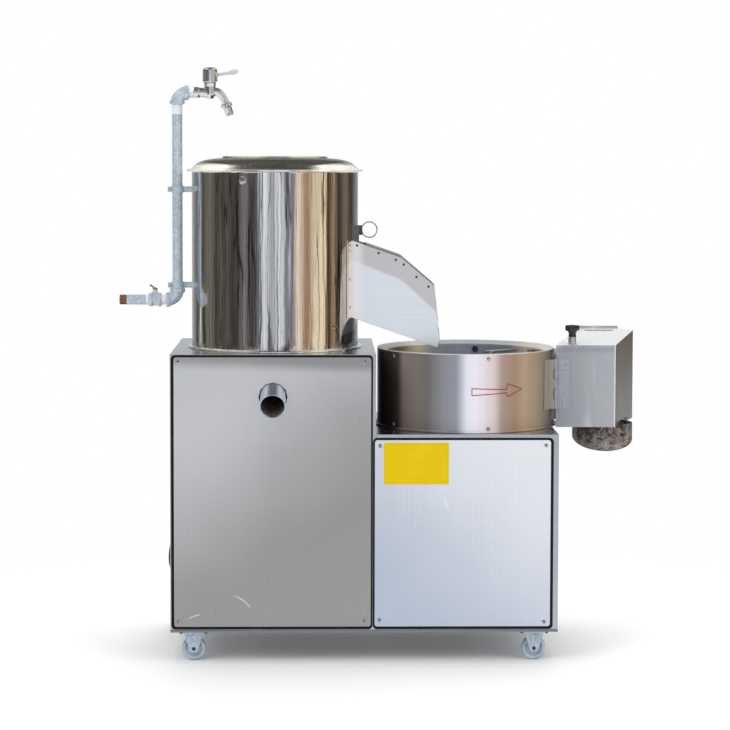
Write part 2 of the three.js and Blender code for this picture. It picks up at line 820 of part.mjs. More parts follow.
function dischargeGate() {
  const inner = drumRadius + gateClearance;
  const outer = inner + gateThickness;
  const half = Math.asin(gateHalfWidth / outer);
  const plate = upright(ringSector(outer, inner, -half, half, 12), gateBottom, gateTop);
  const tabX = outer - gateThickness / 2;
  const tab = slab(
    [tabX, -gateTabWidth / 2, gateTop - gateTabHeight],
    [tabX + gateTabReach, gateTabWidth / 2, gateTop]
  );
  const pocket = slab(
    [outer + sheet, -gateTabWidth / 2 + gateThickness, gateTop - gateTabHeight - overrun],
    [tabX + gateTabReach - gateThickness, gateTabWidth / 2 - gateThickness, gateTop + overrun]
  );
  const ring = new THREE.TorusGeometry(ringRadius, ringWire / 2, 5, 16).rotateX(degrees(90));
  const ringX = tabX + gateTabReach + ringRadius - ringWire / 4;
  return join(plate, cut(tab, pocket), move(ring, ringX, 0, gateTop - ringDrop));
}
piece(peeler, 'discharge_gate', dischargeGate(), satinSteel);

// Chute: trough bolted to the drum, and the cover that closes it

const chuteTopLeft = 227;
const chuteKnee = [265, 191];
const chuteTopRight = [333, 133];
const chuteEnd = [346, 17];
const chuteToe = [340, 3];
const chuteBottomLeft = 66;
const chuteFloorEnd = 262;
const saddleBack = 24;
const coverStart = 190;
const skirtDepth = 13;
const coverLap = 1;

const chuteLeft = Math.sqrt(drumRadius ** 2 - chuteHalfWidth ** 2);

function chuteOutline() {
  return [
    [chuteLeft, chuteBottomLeft], chuteToe, chuteEnd, chuteTopRight, chuteKnee, [chuteLeft, chuteTopLeft],
  ];
}

function chuteTrough() {
  const side = frontal(chuteOutline(), -chuteHalfWidth, -chuteHalfWidth + sheet);
  const slope = (chuteToe[1] - chuteBottomLeft) / (chuteToe[0] - chuteLeft);
  const floorEnd = [chuteFloorEnd, chuteBottomLeft + slope * (chuteFloorEnd - chuteLeft)];
  const floor = sheetAlong([[chuteLeft, chuteBottomLeft], floorEnd], sheet);
  const endWall = sheetAlong([chuteToe, chuteEnd, chuteTopRight], sheet);
  const keep = drumRadius + seat;
  const saddle = (from, to) =>
    upright(ringSector(keep + sheet, keep, from, to, 3), chuteBottomLeft, chuteTopLeft);
  const edgeAngle = Math.asin((chuteHalfWidth - sheet / 2) / (keep + sheet));
  const backAngle = edgeAngle + saddleBack / drumRadius;
  return cut(
    join(
      side,
      move(side, 0, 2 * chuteHalfWidth - sheet, 0),
      frontal(floor, -chuteHalfWidth, chuteHalfWidth),
      frontal(endWall, -chuteHalfWidth, chuteHalfWidth),
      saddle(edgeAngle, backAngle),
      saddle(-backAngle, -edgeAngle)
    ),
    rod(keep, chuteBottomLeft - overrun, chuteTopLeft + overrun, drumFacets)
  );
}
piece(peeler, 'chute_trough', chuteTrough(), satinSteel);

function chuteCover() {
  const along = (from, to, x) => from[1] + ((to[1] - from[1]) * (x - from[0])) / (to[0] - from[0]);
  const start = [coverStart, along([chuteLeft, chuteTopLeft], chuteKnee, coverStart)];
  const line = [start, chuteKnee, chuteTopRight].map(([x, z]) => [x, z + seat]);
  const top = frontal(sheetAlong(line, sheet), -chuteHalfWidth - coverLap, chuteHalfWidth + coverLap);
  const end = [chuteTopRight[0] - 2 * sheet - seat, chuteTopRight[1]];
  const skirtTop = [start, chuteKnee, end].map(([x, z]) => [x, z + seat + sheet / 2]);
  const skirt = [...skirtTop, ...skirtTop.map(([x, z]) => [x, z - skirtDepth]).reverse()];
  const inner = chuteHalfWidth - sheet - seat;
  return join(top, frontal(skirt, -inner, -inner + sheet), frontal(skirt, inner - sheet, inner));
}
piece(peeler, 'chute_cover', chuteCover(), satinSteel);

// Slicing drum: double wall with a sloping lip, floor, and a welded neck round the outlet

const slicerFlangeRadius = 194;
const slicerFlangeThickness = 3;
const lipWidth = 20;
const lipDrop = 8;
const slicerFloor = 18;
const sightHoleRadius = 7;
const sightHoleX = 32;
const sightHoleHeight = 143;
const hingeX = 184;
const hingeY = -74.5;
const barrelRadius = 4;
const hoodFrontY = -70;
const hoodBackY = 115;
const hoodBackX = 250;
const hoodFrontX = 185;
const neckFront = -60;
const neckBack = 82;
const neckBottom = 14;
const neckTop = 152;
const neckGap = 1.2;

const slicerInner = slicerRadius - lipWidth;

// X of the sloping plane where hood and neck meet, at a given Y
function parting(y) {
  return hoodFrontX + ((y - hoodFrontY) * (hoodBackX - hoodFrontX)) / (hoodBackY - hoodFrontY);
}

function slicerDrum() {
  const top = slicerHeight;
  const profile = [
    [housingRadius + holeClearance, slicerFloor], [slicerInner - drumWall, slicerFloor],
    [slicerInner - drumWall, slicerFloor - drumWall], [slicerInner, slicerFloor - drumWall],
    [slicerInner, top - lipDrop - sheet], [slicerRadius - drumWall, top - sheet],
    [slicerRadius - drumWall, seat], [slicerFlangeRadius, seat], [slicerFlangeRadius, seat + slicerFlangeThickness],
    [slicerRadius, seat + slicerFlangeThickness], [slicerRadius, top],
    [slicerInner - drumWall, top - lipDrop], [slicerInner - drumWall, slicerFloor + drumWall],
    [housingRadius + holeClearance, slicerFloor + drumWall],
  ];
  const wallX = (y) => Math.sqrt((slicerInner - drumWall / 2) ** 2 - y ** 2);
  const neck = (inset, back, forward) => [
    [wallX(neckFront) - back, neckFront + inset], [parting(neckFront + inset) - neckGap + forward, neckFront + inset],
    [parting(neckBack - inset) - neckGap + forward, neckBack - inset], [wallX(neckBack) - back, neckBack - inset],
  ];
  const outside = upright(neck(0, 0, 0), neckBottom, neckTop);
  const ring = cut(outside, rod(slicerInner - drumWall, -overrun, top + overrun, drumFacets));
  const through = upright(neck(drumWall, 2 * overrun, overrun), neckBottom + drumWall, neckTop - drumWall);
  const sight = frontal(
    circle(sightHoleRadius, 12, sightHoleX, sightHoleHeight), slicerInner / 2, slicerInner + overrun
  );
  return cut(join(revolve(profile, drumFacets), ring), through, sight);
}
piece(slicer, 'slicer_drum', slicerDrum(), brushedSteel);

// Slicer bearings, spindle and drive

const slicerShaftRadius = 12;
const slicerHousingLength = 120;
const slicerHousingTop = slicerFloor - seat;
const slicerHousingNeck = drumWall + seat;
const rotorBottom = 26;
const rotorSocket = 10;
piece(
  slicer, 'slicer_bearing_housing',
  bearingHousing(slicerHousingTop, slicerHousingNeck, slicerHousingLength, housingRadius, slicerShaftRadius + seat),
  paintedCast
);
piece(
  slicer, 'slicer_spindle',
  spindle(rotorBottom + rotorSocket, slicerHousingTop - slicerHousingLength, slicerShaftRadius), galvanised
);
drive(
  'slicer', slicerMotorX, motorY, slicerMotorRadius, slicerX,
  rightCabinetTop + slicerHousingTop - slicerHousingLength - seat
);

// Slicing rotor: plate and hub with wedge-topped paddles

const rotorRadius = 157;
const rotorPlate = 4;
const rotorHubRadius = 34;
const rotorHubHeight = 46;
const paddleCount = 3;
const paddleThickness = 4;
const paddleTop = 148;
const paddleInnerTop = 96;
const paddleShelf = 26;
const rotorStart = degrees(40);

function slicerRotor() {
  const top = rotorBottom + rotorPlate;
  const socket = slicerShaftRadius + seat;
  const profile = [
    [0, rotorBottom + rotorSocket + seat], [socket, rotorBottom + rotorSocket + seat], [socket, rotorBottom],
    [rotorRadius, rotorBottom], [rotorRadius, top], [rotorHubRadius, top],
    [rotorHubRadius * 0.6, top + rotorHubHeight], [0, top + rotorHubHeight],
  ];
  const blade = [
    [rotorHubRadius / 2, rotorBottom + seat], [rotorRadius, rotorBottom + seat], [rotorRadius, paddleTop],
    [rotorRadius / 2, paddleTop], [rotorHubRadius / 2, paddleInnerTop],
  ];
  const shelf = [
    [rotorRadius / 2, paddleTop - paddleThickness], [rotorRadius, paddleTop - paddleThickness],
    [rotorRadius, paddleTop], [rotorRadius / 2, paddleTop],
  ];
  const rim = rod(rotorRadius, rotorBottom, paddleTop, discFacets);
  const paddle = common(
    join(
      frontal(blade, -paddleThickness / 2, paddleThickness / 2),
      frontal(shelf, -paddleShelf, paddleThickness / 2)
    ),
    rim
  );
  const paddles = [];
  for (let i = 0; i < paddleCount; i += 1) paddles.push(turn(paddle, rotorStart + (i * 2 * Math.PI) / paddleCount));
  return join(revolve(profile, discFacets), ...paddles);
}
piece(slicer, 'slicer_rotor', slicerRotor(), satinSteel);

// Slicing blade: upright knife on the rear side of the neck, its edge towards the drum

const bladeThickness = 2.5;
const bladeTipRadius = 160;
const bladeHeel = 192;
const bladeBevel = 9;

function slicingBlade() {
  const outer = neckBack - drumWall - seat;
  const inner = outer - bladeThickness;
  const tip = Math.sqrt(bladeTipRadius ** 2 - outer ** 2);
  const outline = [[tip, outer], [tip + bladeBevel, inner], [bladeHeel, inner], [bladeHeel, outer]];
  return upright(outline, neckBottom + drumWall + seat, neckTop - drumWall - seat);
}
piece(slicer, 'slicing_blade', slicingBlade(), knifeSteel);

// Discharge hood: sheet box with a rising top, a grip slot and lip at the back, and a screw boss

const hoodBottom = -1;
const hoodFrontTop = 171;
const hoodBackTop = 190;
const hoodCorner = [370, hoodFrontY + hoodDepth];
const hoodRearRight = 339;
const hoodRearY = 120;
const spoutX = 295;
const spoutY = 25;
const spoutRadius = 64;
const spoutWall = 2;
const bossX = 220;
const bossY = -60;
const bossRadius = 8;
const bossHeight = 16;
const screwRadius = 4;
const gripSlotLength = 64;
const gripSlotWidth = 11;
const gripSlotY = 98;
const lipHeight = 6;

function hoodPlan(inward, openSide) {
  const outline = [
    [hoodFrontX, hoodFrontY], [hoodFrontX + hoodWidth, hoodFrontY], hoodCorner, [hoodRearRight, hoodRearY],
    [parting(hoodRearY), hoodRearY],
  ];
  return inset(outline, [inward, inward, inward, inward, -openSide]);
}

// The region under the sloping top, lowered by an inset
function underTop(inset) {
  const slope = (hoodBackTop - hoodFrontTop) / hoodDepth;
  const far = hoodRearY + overrun;
  const near = hoodFrontY - overrun;
  const height = (y) => hoodFrontTop - inset + slope * (y - hoodFrontY);
  return sideways(
    [[near, hoodBottom + inset], [far, hoodBottom + inset], [far, height(far)], [near, height(near)]],
    0, hoodCorner[0] + overrun
  );
}

function stadium(x, y, length, width) {
  return [
    ...arc(width / 2, degrees(-90), degrees(90), 6, x + (length - width) / 2, y),
    ...arc(width / 2, degrees(90), degrees(270), 6, x - (length - width) / 2, y),
  ];
}

function dischargeHood() {
  const [low, high] = [hoodBottom - overrun, hoodBackTop + 2 * overrun];
  const outer = common(upright(hoodPlan(0, 0), low, high), underTop(0));
  const inner = common(upright(hoodPlan(sheet, overrun), low, high), underTop(sheet));
  const slope = (hoodBackTop - hoodFrontTop) / hoodDepth;
  const bossBase = hoodFrontTop + slope * (bossY - hoodFrontY);
  const boss = move(rod(bossRadius, bossBase - sheet, bossBase + bossHeight), bossX, bossY, 0);
  const screwHole = move(rod(screwRadius + seat, bossBase - overrun, bossBase + 2 * bossHeight, 12), bossX, bossY, 0);
  const grip = upright(stadium((hoodBackX + hoodRearRight) / 2, gripSlotY, gripSlotLength, gripSlotWidth), low, high);
  const slot = common(grip, slab([0, 0, hoodFrontTop - overrun], [2 * hoodCorner[0], hoodRearY, high]));
  const lipBase = hoodFrontTop + slope * (hoodRearY - hoodFrontY) - sheet;
  const lip = slab(
    [parting(hoodBackY), hoodRearY - sheet, lipBase - sheet], [hoodRearRight, hoodRearY, lipBase + sheet + lipHeight]
  );
  const spoutHole = move(rod(spoutRadius - spoutWall, low, sheet + overrun, discFacets), spoutX, spoutY, 0);
  return cut(join(cut(outer, inner), boss, lip), screwHole, slot, spoutHole);
}
piece(slicer, 'discharge_hood', dischargeHood(), satinSteel);

// Discharge spout: round pipe under the hood, cut off at a slant

const spoutFront = 57;
const spoutBack = 8;

function dischargeSpout() {
  const top = hoodBottom - seat;
  const bottom = hoodBottom - spoutFront;
  const body = pipe(spoutRadius, spoutRadius - spoutWall, bottom - overrun, top, discFacets);
  const slant = sideways(
    [
      [-spoutRadius - overrun, bottom], [spoutRadius + overrun, hoodBottom - spoutBack],
      [spoutRadius + overrun, bottom - 2 * overrun], [-spoutRadius - overrun, bottom - 2 * overrun],
    ],
    -spoutRadius - overrun, spoutRadius + overrun
  );
  return move(cut(body, slant), spoutX, spoutY, 0);
}
piece(slicer, 'discharge_spout', dischargeSpout(), mottledSteel);

// Butt hinge between the slicing drum and the hood: five knuckles on one pin

const knuckleCount = 5;
const knuckleGap = 0.5;
const leafThickness = 1.2;
const leafBottom = 38;
const leafTop = 142;
const movingLeafWidth = 29;
const pinRadius = 1.6;
const pinClearance = 0.3;

function knuckles(parity) {
  const pitch = (leafTop - leafBottom) / knuckleCount;
  const pieces = [];
  for (let i = parity; i < knuckleCount; i += 2) {
    const from = leafBottom + i * pitch + knuckleGap / 2;
    pieces.push(move(rod(barrelRadius, from, from + pitch - knuckleGap, tinyFacets), hingeX, hingeY, 0));
  }
  return pieces;
}

// Room for the other leaf's knuckles, cut from this leaf's plate
function knuckleRoom(parity) {
  const pitch = (leafTop - leafBottom) / knuckleCount;
  const reach = barrelRadius + knuckleGap;
  const rooms = [];
  for (let i = parity; i < knuckleCount; i += 2) {
    const from = leafBottom + i * pitch - knuckleGap / 2;
    const to = from + pitch + knuckleGap;
    rooms.push(slab([hingeX - reach, hingeY - reach, from], [hingeX + reach, hingeY + reach, to]));
  }
  return rooms;
}

function hingeMovingLeaf() {
  const back = hoodFrontY - seat;
  const plate = slab([hingeX, back - leafThickness, leafBottom], [hingeX + movingLeafWidth, back, leafTop]);
  const pin = move(rod(pinRadius, leafBottom, leafTop, tinyFacets), hingeX, hingeY, 0);
  return join(cut(plate, ...knuckleRoom(0)), ...knuckles(1), pin);
}
piece(slicer, 'hinge_moving_leaf', hingeMovingLeaf(), satinSteel);

const leafFrom = degrees(-33);
const leafTo = degrees(-25);

function hingeFixedLeaf() {
  const radius = slicerRadius + seat;
  const line = [...arc(radius, leafFrom, leafTo, 3), [hingeX - barrelRadius / 2, hingeY - leafThickness / 2]];
  const plate = upright(sheetAlong(line.reverse(), leafThickness), leafBottom, leafTop);
  const bore = move(rod(pinRadius + pinClearance, leafBottom - overrun, leafTop + overrun, tinyFacets), hingeX, hingeY, 0);
  return cut(join(cut(plate, ...knuckleRoom(1)), ...knuckles(0)), bore);
}
piece(slicer, 'hinge_fixed_leaf', hingeFixedLeaf(), satinSteel);

// Clamp knob: lobed black head on a neck, its screw down through the boss

const knobNeckHeight = 12;
const knobHeadHeight = 12;
const knobRadius = 15;
const knobNeckRadius = 8;
const knobLobes = 6;
const knobLobeDepth = 2;
const knobFacetsPerLobe = 4;
const screwTail = 12;

function clampKnob() {
  const slope = (hoodBackTop - hoodFrontTop) / hoodDepth;
  const base = hoodFrontTop + slope * (bossY - hoodFrontY) + bossHeight + seat;
  const lobed = circle(1, knobLobes * knobFacetsPerLobe).map(([x, y]) => {
    const radius = knobRadius - (knobLobeDepth * (1 - Math.cos(knobLobes * Math.atan2(y, x)))) / 2;
    return [x * radius, y * radius];
  });
  const top = base + knobNeckHeight + knobHeadHeight;
  const head = upright(lobed, base + knobNeckHeight, top);
  const neck = rod(knobNeckRadius, base, base + knobNeckHeight + seat);
  const screw = rod(screwRadius, base - bossHeight - screwTail, base + seat, 12);
  return move(join(head, neck, screw), bossX, bossY, 0);
}
piece(slicer, 'clamp_knob', clampKnob(), blackPlastic);

// Water line: riser beside the drum, elbows, tap over the lid, stop cock and inlet pipe

const pipeRadius = 10.65;
const pipeBore = 8;
const elbowBend = 24;
const elbowRadius = 13.5;
const elbowRimRadius = 15.6;
const elbowRimHeight = 8;
const elbowSocket = 12;

const waterLine = new THREE.Group();
waterLine.position.set(riserOffsetX, riserOffsetY, 0);
peeler.add(waterLine);

const riserFrom = riserBottom + elbowBend - elbowSocket;
const riserTo = riserTop - elbowBend + elbowSocket;
piece(waterLine, 'riser_pipe', pipe(pipeRadius, pipeBore, riserFrom, riserTo), galvanised);

// An elbow from the riser to a pipe along X: side is +1 or -1, up is +1 when the riser is above it
function elbow(side, up) {
  const bend = new THREE.QuadraticBezierCurve3(
    new THREE.Vector3(0, 0, up * elbowBend), new THREE.Vector3(0, 0, 0), new THREE.Vector3(side * elbowBend, 0, 0)
  );
  const body = sweep(bend, circle(elbowRadius, smallFacets), 3);
  const upRim = up > 0 ? [elbowBend - elbowRimHeight, elbowBend] : [-elbowBend, -elbowBend + elbowRimHeight];
  const rim = rod(elbowRimRadius, ...upRim);
  const sideRim = rod(elbowRimRadius, elbowBend - elbowRimHeight, elbowBend).rotateY(side * degrees(90));
  const flow = sweep(bend, circle(pipeBore, tinyFacets), 3);
  const socketFrom = elbowBend - elbowSocket - seat;
  const upSocket = up > 0 ? [socketFrom, elbowBend + overrun] : [-elbowBend - overrun, -socketFrom];
  const socket = rod(pipeRadius + seat, ...upSocket, pipeFacets);
  const sideSocket = rod(pipeRadius + seat, socketFrom, elbowBend + overrun, pipeFacets).rotateY(side * degrees(90));
  return cut(join(body, rim, sideRim), flow, socket, sideSocket);
}
const lowerElbow = piece(waterLine, 'lower_elbow', elbow(-1, 1), galvanised);
lowerElbow.position.z = riserBottom;
const upperElbow = piece(waterLine, 'upper_elbow', elbow(1, -1), galvanised);
upperElbow.position.z = riserTop;

// Stop cock on the lower pipe, with its brass lever leaning back over it

const cockCentre = -47;
const cockLength = 26;
const cockRadius = 14.5;
const cockStemRadius = 5;
const cockStemHeight = 21;
const nippleEnd = -elbowBend + elbowSocket;
const inletEnd = -121;
const cockLeverLength = 15;
const cockLeverThickness = 3.5;
const cockLeverWidth = 9;
const cockLeverLean = degrees(35);

const alongMinusX = (geometry) => geometry.rotateY(degrees(-90));

function stopCock() {
  const centre = -cockCentre;
  const half = cockLength / 2;
  const body = alongMinusX(revolve([
    [pipeBore, -nippleEnd], [pipeRadius, -nippleEnd], [pipeRadius, centre - half], [cockRadius, centre - half],
    [cockRadius, centre + half], [pipeRadius + seat, centre + half], [pipeRadius + seat, centre + half - elbowSocket],
    [pipeBore, centre + half - elbowSocket],
  ], pipeFacets));
  const stemRoot = (cockRadius + pipeRadius) / 2;
  const stem = move(rod(cockStemRadius, stemRoot, cockStemHeight, smallFacets), cockCentre, 0, 0);
  return join(body, stem);
}
piece(waterLine, 'stop_cock', stopCock(), galvanised).position.z = riserBottom;

function inletPipe() {
  const from = -cockCentre + cockLength / 2 - elbowSocket + seat;
  return alongMinusX(pipe(pipeRadius, pipeBore, from, -inletEnd));
}
piece(waterLine, 'inlet_pipe', inletPipe(), galvanised).position.z = riserBottom;

function cockLever() {
  const base = cockStemHeight + seat;
  const hub = rod(cockStemRadius, base, base + cockLeverThickness, smallFacets);
  const arm = slab(
    [-cockLeverLength, -cockLeverWidth / 2, 0], [0, cockLeverWidth / 2, cockLeverThickness]
  ).rotateY(cockLeverLean);
  return join(hub, move(arm, 0, 0, base));
}
piece(waterLine, 'cock_lever', cockLever(), brass).position.set(cockCentre, 0, riserBottom);

// Tap: body with a curved spout over the lid's opening, and a lever cap that turns on top

const tapX = 68.5;
const tapNippleLength = 24;
const tapBodyRadius = 12;
const tapNeckRadius = 12.5;
const tapNeckTop = 21;
const capRadius = 15;
const capHeight = 31;
const tapSpoutRadius = 8;
const tapSpoutBore = 5;
const tapCollarRadius = 11.5;
const nozzleX = 110;
const nozzleDrop = 47;
const capRound = 3;
const leverLength = 60;
const leverRise = degrees(10);
const leverTilt = degrees(50);
const leverWidth = 16;
const leverThickness = 3;

function tapBody() {
  const start = elbowBend - elbowSocket;
  const inlet = revolve([
    [0, start], [pipeRadius, start], [pipeRadius, start + tapNippleLength], [tapBodyRadius, start + tapNippleLength],
    [tapBodyRadius, tapX], [0, tapX],
  ], pipeFacets).rotateY(degrees(90));
  const neck = move(revolve([
    [0, -tapBodyRadius], [tapBodyRadius * 0.7, -tapBodyRadius], [tapNeckRadius, 0], [tapNeckRadius, tapNeckTop],
    [0, tapNeckTop],
  ], pipeFacets), tapX, 0, 0);
  const path = new THREE.CubicBezierCurve3(
    new THREE.Vector3(tapX, 0, 0),
    new THREE.Vector3(tapX + nozzleDrop / 2, 0, nozzleDrop / 5),
    new THREE.Vector3(nozzleX - nozzleDrop / 5, 0, -nozzleDrop / 3),
    new THREE.Vector3(nozzleX, 0, -nozzleDrop)
  );
  const spout = sweep(path, circle(tapSpoutRadius, smallFacets), 6);
  const collarAt = 0.72;
  const collarLength = 9;
  const along = path.getTangentAt(collarAt);
  const collar = rod(tapCollarRadius, 0, collarLength, smallFacets);
  collar.applyQuaternion(new THREE.Quaternion().setFromUnitVectors(axisZ, along));
  const at = path.getPointAt(collarAt);
  const beforeMouth = path.getPointAt(1).addScaledVector(path.getTangentAt(1), -nozzleDrop / 4);
  const bore = rod(tapSpoutBore, 0, nozzleDrop / 2, 12);
  bore.applyQuaternion(new THREE.Quaternion().setFromUnitVectors(axisZ, path.getTangentAt(1)));
  return cut(
    join(inlet, neck, spout, move(collar, at.x, at.y, at.z)),
    move(bore, beforeMouth.x, beforeMouth.y, beforeMouth.z)
  );
}
piece(waterLine, 'tap_body', tapBody(), chrome).position.z = riserTop;

function tapLever() {
  const base = tapNeckTop + seat;
  const cap = revolve([
    [0, base], [capRadius, base], [capRadius, base + capHeight - capRound],
    [capRadius - capRound, base + capHeight], [0, base + capHeight],
  ], pipeFacets);
  const root = capRadius / 2;
  const low = base + capHeight * 0.4;
  const middle = (root + leverLength) / 2;
  const plan = [
    [root, -leverWidth / 3], [middle, -leverWidth / 3], ...arc(leverWidth / 2, degrees(-90), degrees(90), 8,
      leverLength - leverWidth / 2, 0), [middle, leverWidth / 3], [root, leverWidth / 3],
  ];
  const arm = upright(plan, -leverThickness / 2, leverThickness / 2).rotateX(leverTilt).rotateY(-leverRise);
  return join(cap, move(arm, 0, 0, low));
}
piece(waterLine, 'tap_lever', tapLever(), chrome).position.set(tapX, 0, riserTop);

// Pipe clamps: band round the riser on a stand-off that reaches the drum

const clampWall = 2;
const clampHeight = 12;
const standOffRadius = 5;
const clampHeights = { upper: 332, lower: 132 };

function pipeClamp(height) {
  const distance = Math.hypot(riserOffsetX, riserOffsetY);
  const heading = Math.atan2(-riserOffsetY, -riserOffsetX);
  const inner = pipeRadius + seat;
  const band = pipe(inner + clampWall, inner, -clampHeight / 2, clampHeight / 2);
  const arm = rod(standOffRadius, inner + clampWall / 2, distance - drumRadius, 10).rotateY(degrees(90));
  const drum = move(rod(drumRadius + seat, -clampHeight, clampHeight, drumFacets), -riserOffsetX, -riserOffsetY, 0);
  return move(cut(join(band, turn(arm, heading)), drum), 0, 0, height);
}
piece(waterLine, 'upper_pipe_clamp', pipeClamp(clampHeights.upper), galvanised);
piece(waterLine, 'lower_pipe_clamp', pipeClamp(clampHeights.lower), galvanised);

// Switch box on the left wall, with start and stop buttons and the gland of the power lead

const boxDepth = 15;
const boxY = 366;
const boxWidth = 62;
const boxBottom = 312;
const boxTop = 412;
const boxCorner = 6;
const buttonRadius = 10;
const buttonReach = 5;
const buttonTravel = 3;
const buttonSocket = 11;
const buttonSpacing = 38;
const glandRadius = 7.5;
const glandLength = 32;
const leadRadius = 4.5;
const boxMiddle = (boxBottom + boxTop) / 2;
const boxFace = -seat - boxDepth;
const leadX = -seat - boxDepth / 2 - sheet;

function switchBox() {
  const outline = roundedRectangle(boxY - boxWidth / 2, boxY + boxWidth / 2, boxBottom, boxTop, boxCorner);
  const box = sideways(outline, boxFace, -seat);
  const sockets = [-1, 1].map((side) => sideways(
    circle(buttonRadius + seat, smallFacets, boxY, boxMiddle + (side * buttonSpacing) / 2),
    boxFace - overrun, boxFace + buttonSocket
  ));
  return cut(box, ...sockets);
}
piece(machine, 'switch_box', switchBox(), greyPlastic);

function pushButton() {
  const back = buttonSocket - buttonTravel - seat;
  return rod(buttonRadius, -buttonReach, back, smallFacets).rotateY(degrees(90));
}
const startButton = piece(machine, 'start_button', pushButton(), greenPlastic);
startButton.position.set(boxFace, boxY, boxMiddle + buttonSpacing / 2);
const stopButton = piece(machine, 'stop_button', pushButton(), redPlastic);
stopButton.position.set(boxFace, boxY, boxMiddle - buttonSpacing / 2);

function cableGland() {
  const top = boxBottom - seat;
  const bore = leadRadius + seat;
  const profile = [
    [bore, top], [glandRadius, top], [glandRadius, top - glandLength / 4], [glandRadius * 0.86, top - glandLength / 3],
    [bore + sheet / 2, top - glandLength], [bore, top - glandLength],
  ];
  return move(revolve(profile, smallFacets), leadX, boxY, 0);
}
piece(machine, 'cable_gland', cableGland(), blackRubber);

// Power lead: down the left wall in two bulges, along the floor to a coil behind the cabinet

const leadFloor = leadRadius + seat;
const leadSides = 8;
const leadSteps = 50;
const coilSides = 6;
const coilStepsPerTurn = 24;
const coilTurnsPerLayer = 2;
const coilPitch = 9.7;
const coilOuter = 55;
const coilCentre = [150, 515];
const coilStart = -Math.PI / 2;
const coilTuck = 2;
const coilFlare = 12;
const glandEnd = boxBottom - seat - glandLength - seat;

const leadRoute = [
  [leadX, boxY, glandEnd],
  [leadX, boxY, 262],
  [-10.5, 366, 240],
  [-13.5, 366, 214],
  [-19, 365, 188],
  [-22.6, 364, 166],
  [-23, 363, 146],
  [-18, 362, 124],
  [-13.5, 362, 104],
  [-10, 363, 84],
  [-9.5, 365, 66],
  [-12.5, 368, 47],
  [-18, 374, 31],
  [-19.5, 384, 19],
  [-17.5, 398, 10],
  [-14, 414, 5.6],
  [-7, 430, 4.8],
  [8, 441, 4.8],
  [34, 447, 4.8],
  [66, 449, 4.8],
  [98, 452, 4.8],
  [126, 456.2, 4.8],
  [140.82, 458.53, 4.8],
];

// Coil: spirals in on the floor, climbs a layer, spirals out, then comes down to the floor for the plug
function coilPoints() {
  const points = [];
  const perTurn = coilStepsPerTurn;
  const climb = perTurn / 2;
  const turns = coilTurnsPerLayer * perTurn;
  const innermost = coilOuter - coilTurnsPerLayer * coilPitch;
  const eased = (share) => share * share * (3 - 2 * share);
  const add = (step, radius, height) => {
    const angle = coilStart + (step * 2 * Math.PI) / perTurn;
    points.push(new THREE.Vector3(
      coilCentre[0] + radius * Math.cos(angle), coilCentre[1] + radius * Math.sin(angle), leadFloor + height
    ));
  };
  for (let i = 0; i < turns; i += 1) add(i, coilOuter - (i * coilPitch) / perTurn, 0);
  for (let i = 0; i < climb; i += 1) {
    const share = i / climb;
    add(turns + i, innermost - coilTuck * Math.sin(share * Math.PI), coilPitch * eased(share));
  }
  const descentFrom = turns + (perTurn * 3) / 4;
  const descent = perTurn / 3;
  for (let i = 0; i <= descentFrom + descent; i += 1) {
    const drop = eased(Math.max(0, (i - descentFrom) / descent));
    const radius = innermost + (i * coilPitch) / perTurn + coilFlare * drop;
    add(turns + climb + i, radius, coilPitch * (1 - drop));
  }
  return points;
}

// Tube through points, its section upright, closed at both ends
function tubeThrough(points, radius, sides) {
  const positions = [];
  const rings = points.map((point, i) => {
    const before = points[Math.max(i - 1, 0)];
    const after = points[Math.min(i + 1, points.length - 1)];
    const along = after.clone().sub(before).normalize();
    const side = new THREE.Vector3().crossVectors(along, axisZ).normalize();
    const up = new THREE.Vector3().crossVectors(side, along);
    return circle(radius, sides).map(([a, b]) => point.clone().addScaledVector(side, a).addScaledVector(up, b));
  });
  const triangle = (a, b, c) => positions.push(...a.toArray(), ...b.toArray(), ...c.toArray());
  for (let i = 0; i + 1 < rings.length; i += 1) {
    for (let k = 0; k < sides; k += 1) {
      const next = (k + 1) % sides;
      triangle(rings[i][k], rings[i + 1][next], rings[i][next]);
      triangle(rings[i][k], rings[i + 1][k], rings[i + 1][next]);
    }
  }
  for (let k = 1; k + 1 < sides; k += 1) {
    triangle(rings[0][0], rings[0][k], rings[0][k + 1]);
    triangle(rings.at(-1)[0], rings.at(-1)[k + 1], rings.at(-1)[k]);
  }
  const geometry = new THREE.BufferGeometry();
  geometry.setAttribute('position', new THREE.Float32BufferAttribute(positions, 3));
  return geometry;
}

// Straight run of one diameter added before the first point of a line, and another after its last
function withStraightEnds(points, length) {
  const first = points[0].clone().sub(points[1]).normalize();
  const last = points.at(-1).clone().sub(points.at(-2)).normalize();
  first.z = 0;
  last.z = 0;
  return [
    points[0].clone().addScaledVector(first.normalize(), length), ...points,
    points.at(-1).clone().addScaledVector(last.normalize(), length),
  ];
}

function leastSelfGap(points, diameter) {
  let least = Infinity;
  for (let i = 0; i < points.length; i += 1) {
    for (let k = i + coilStepsPerTurn / 2; k < points.length; k += 1) {
      least = Math.min(least, points[i].distanceTo(points[k]) - diameter);
    }
  }
  return least;
}

const lineLength = (points) => points.slice(1).reduce((sum, point, i) => sum + point.distanceTo(points[i]), 0);

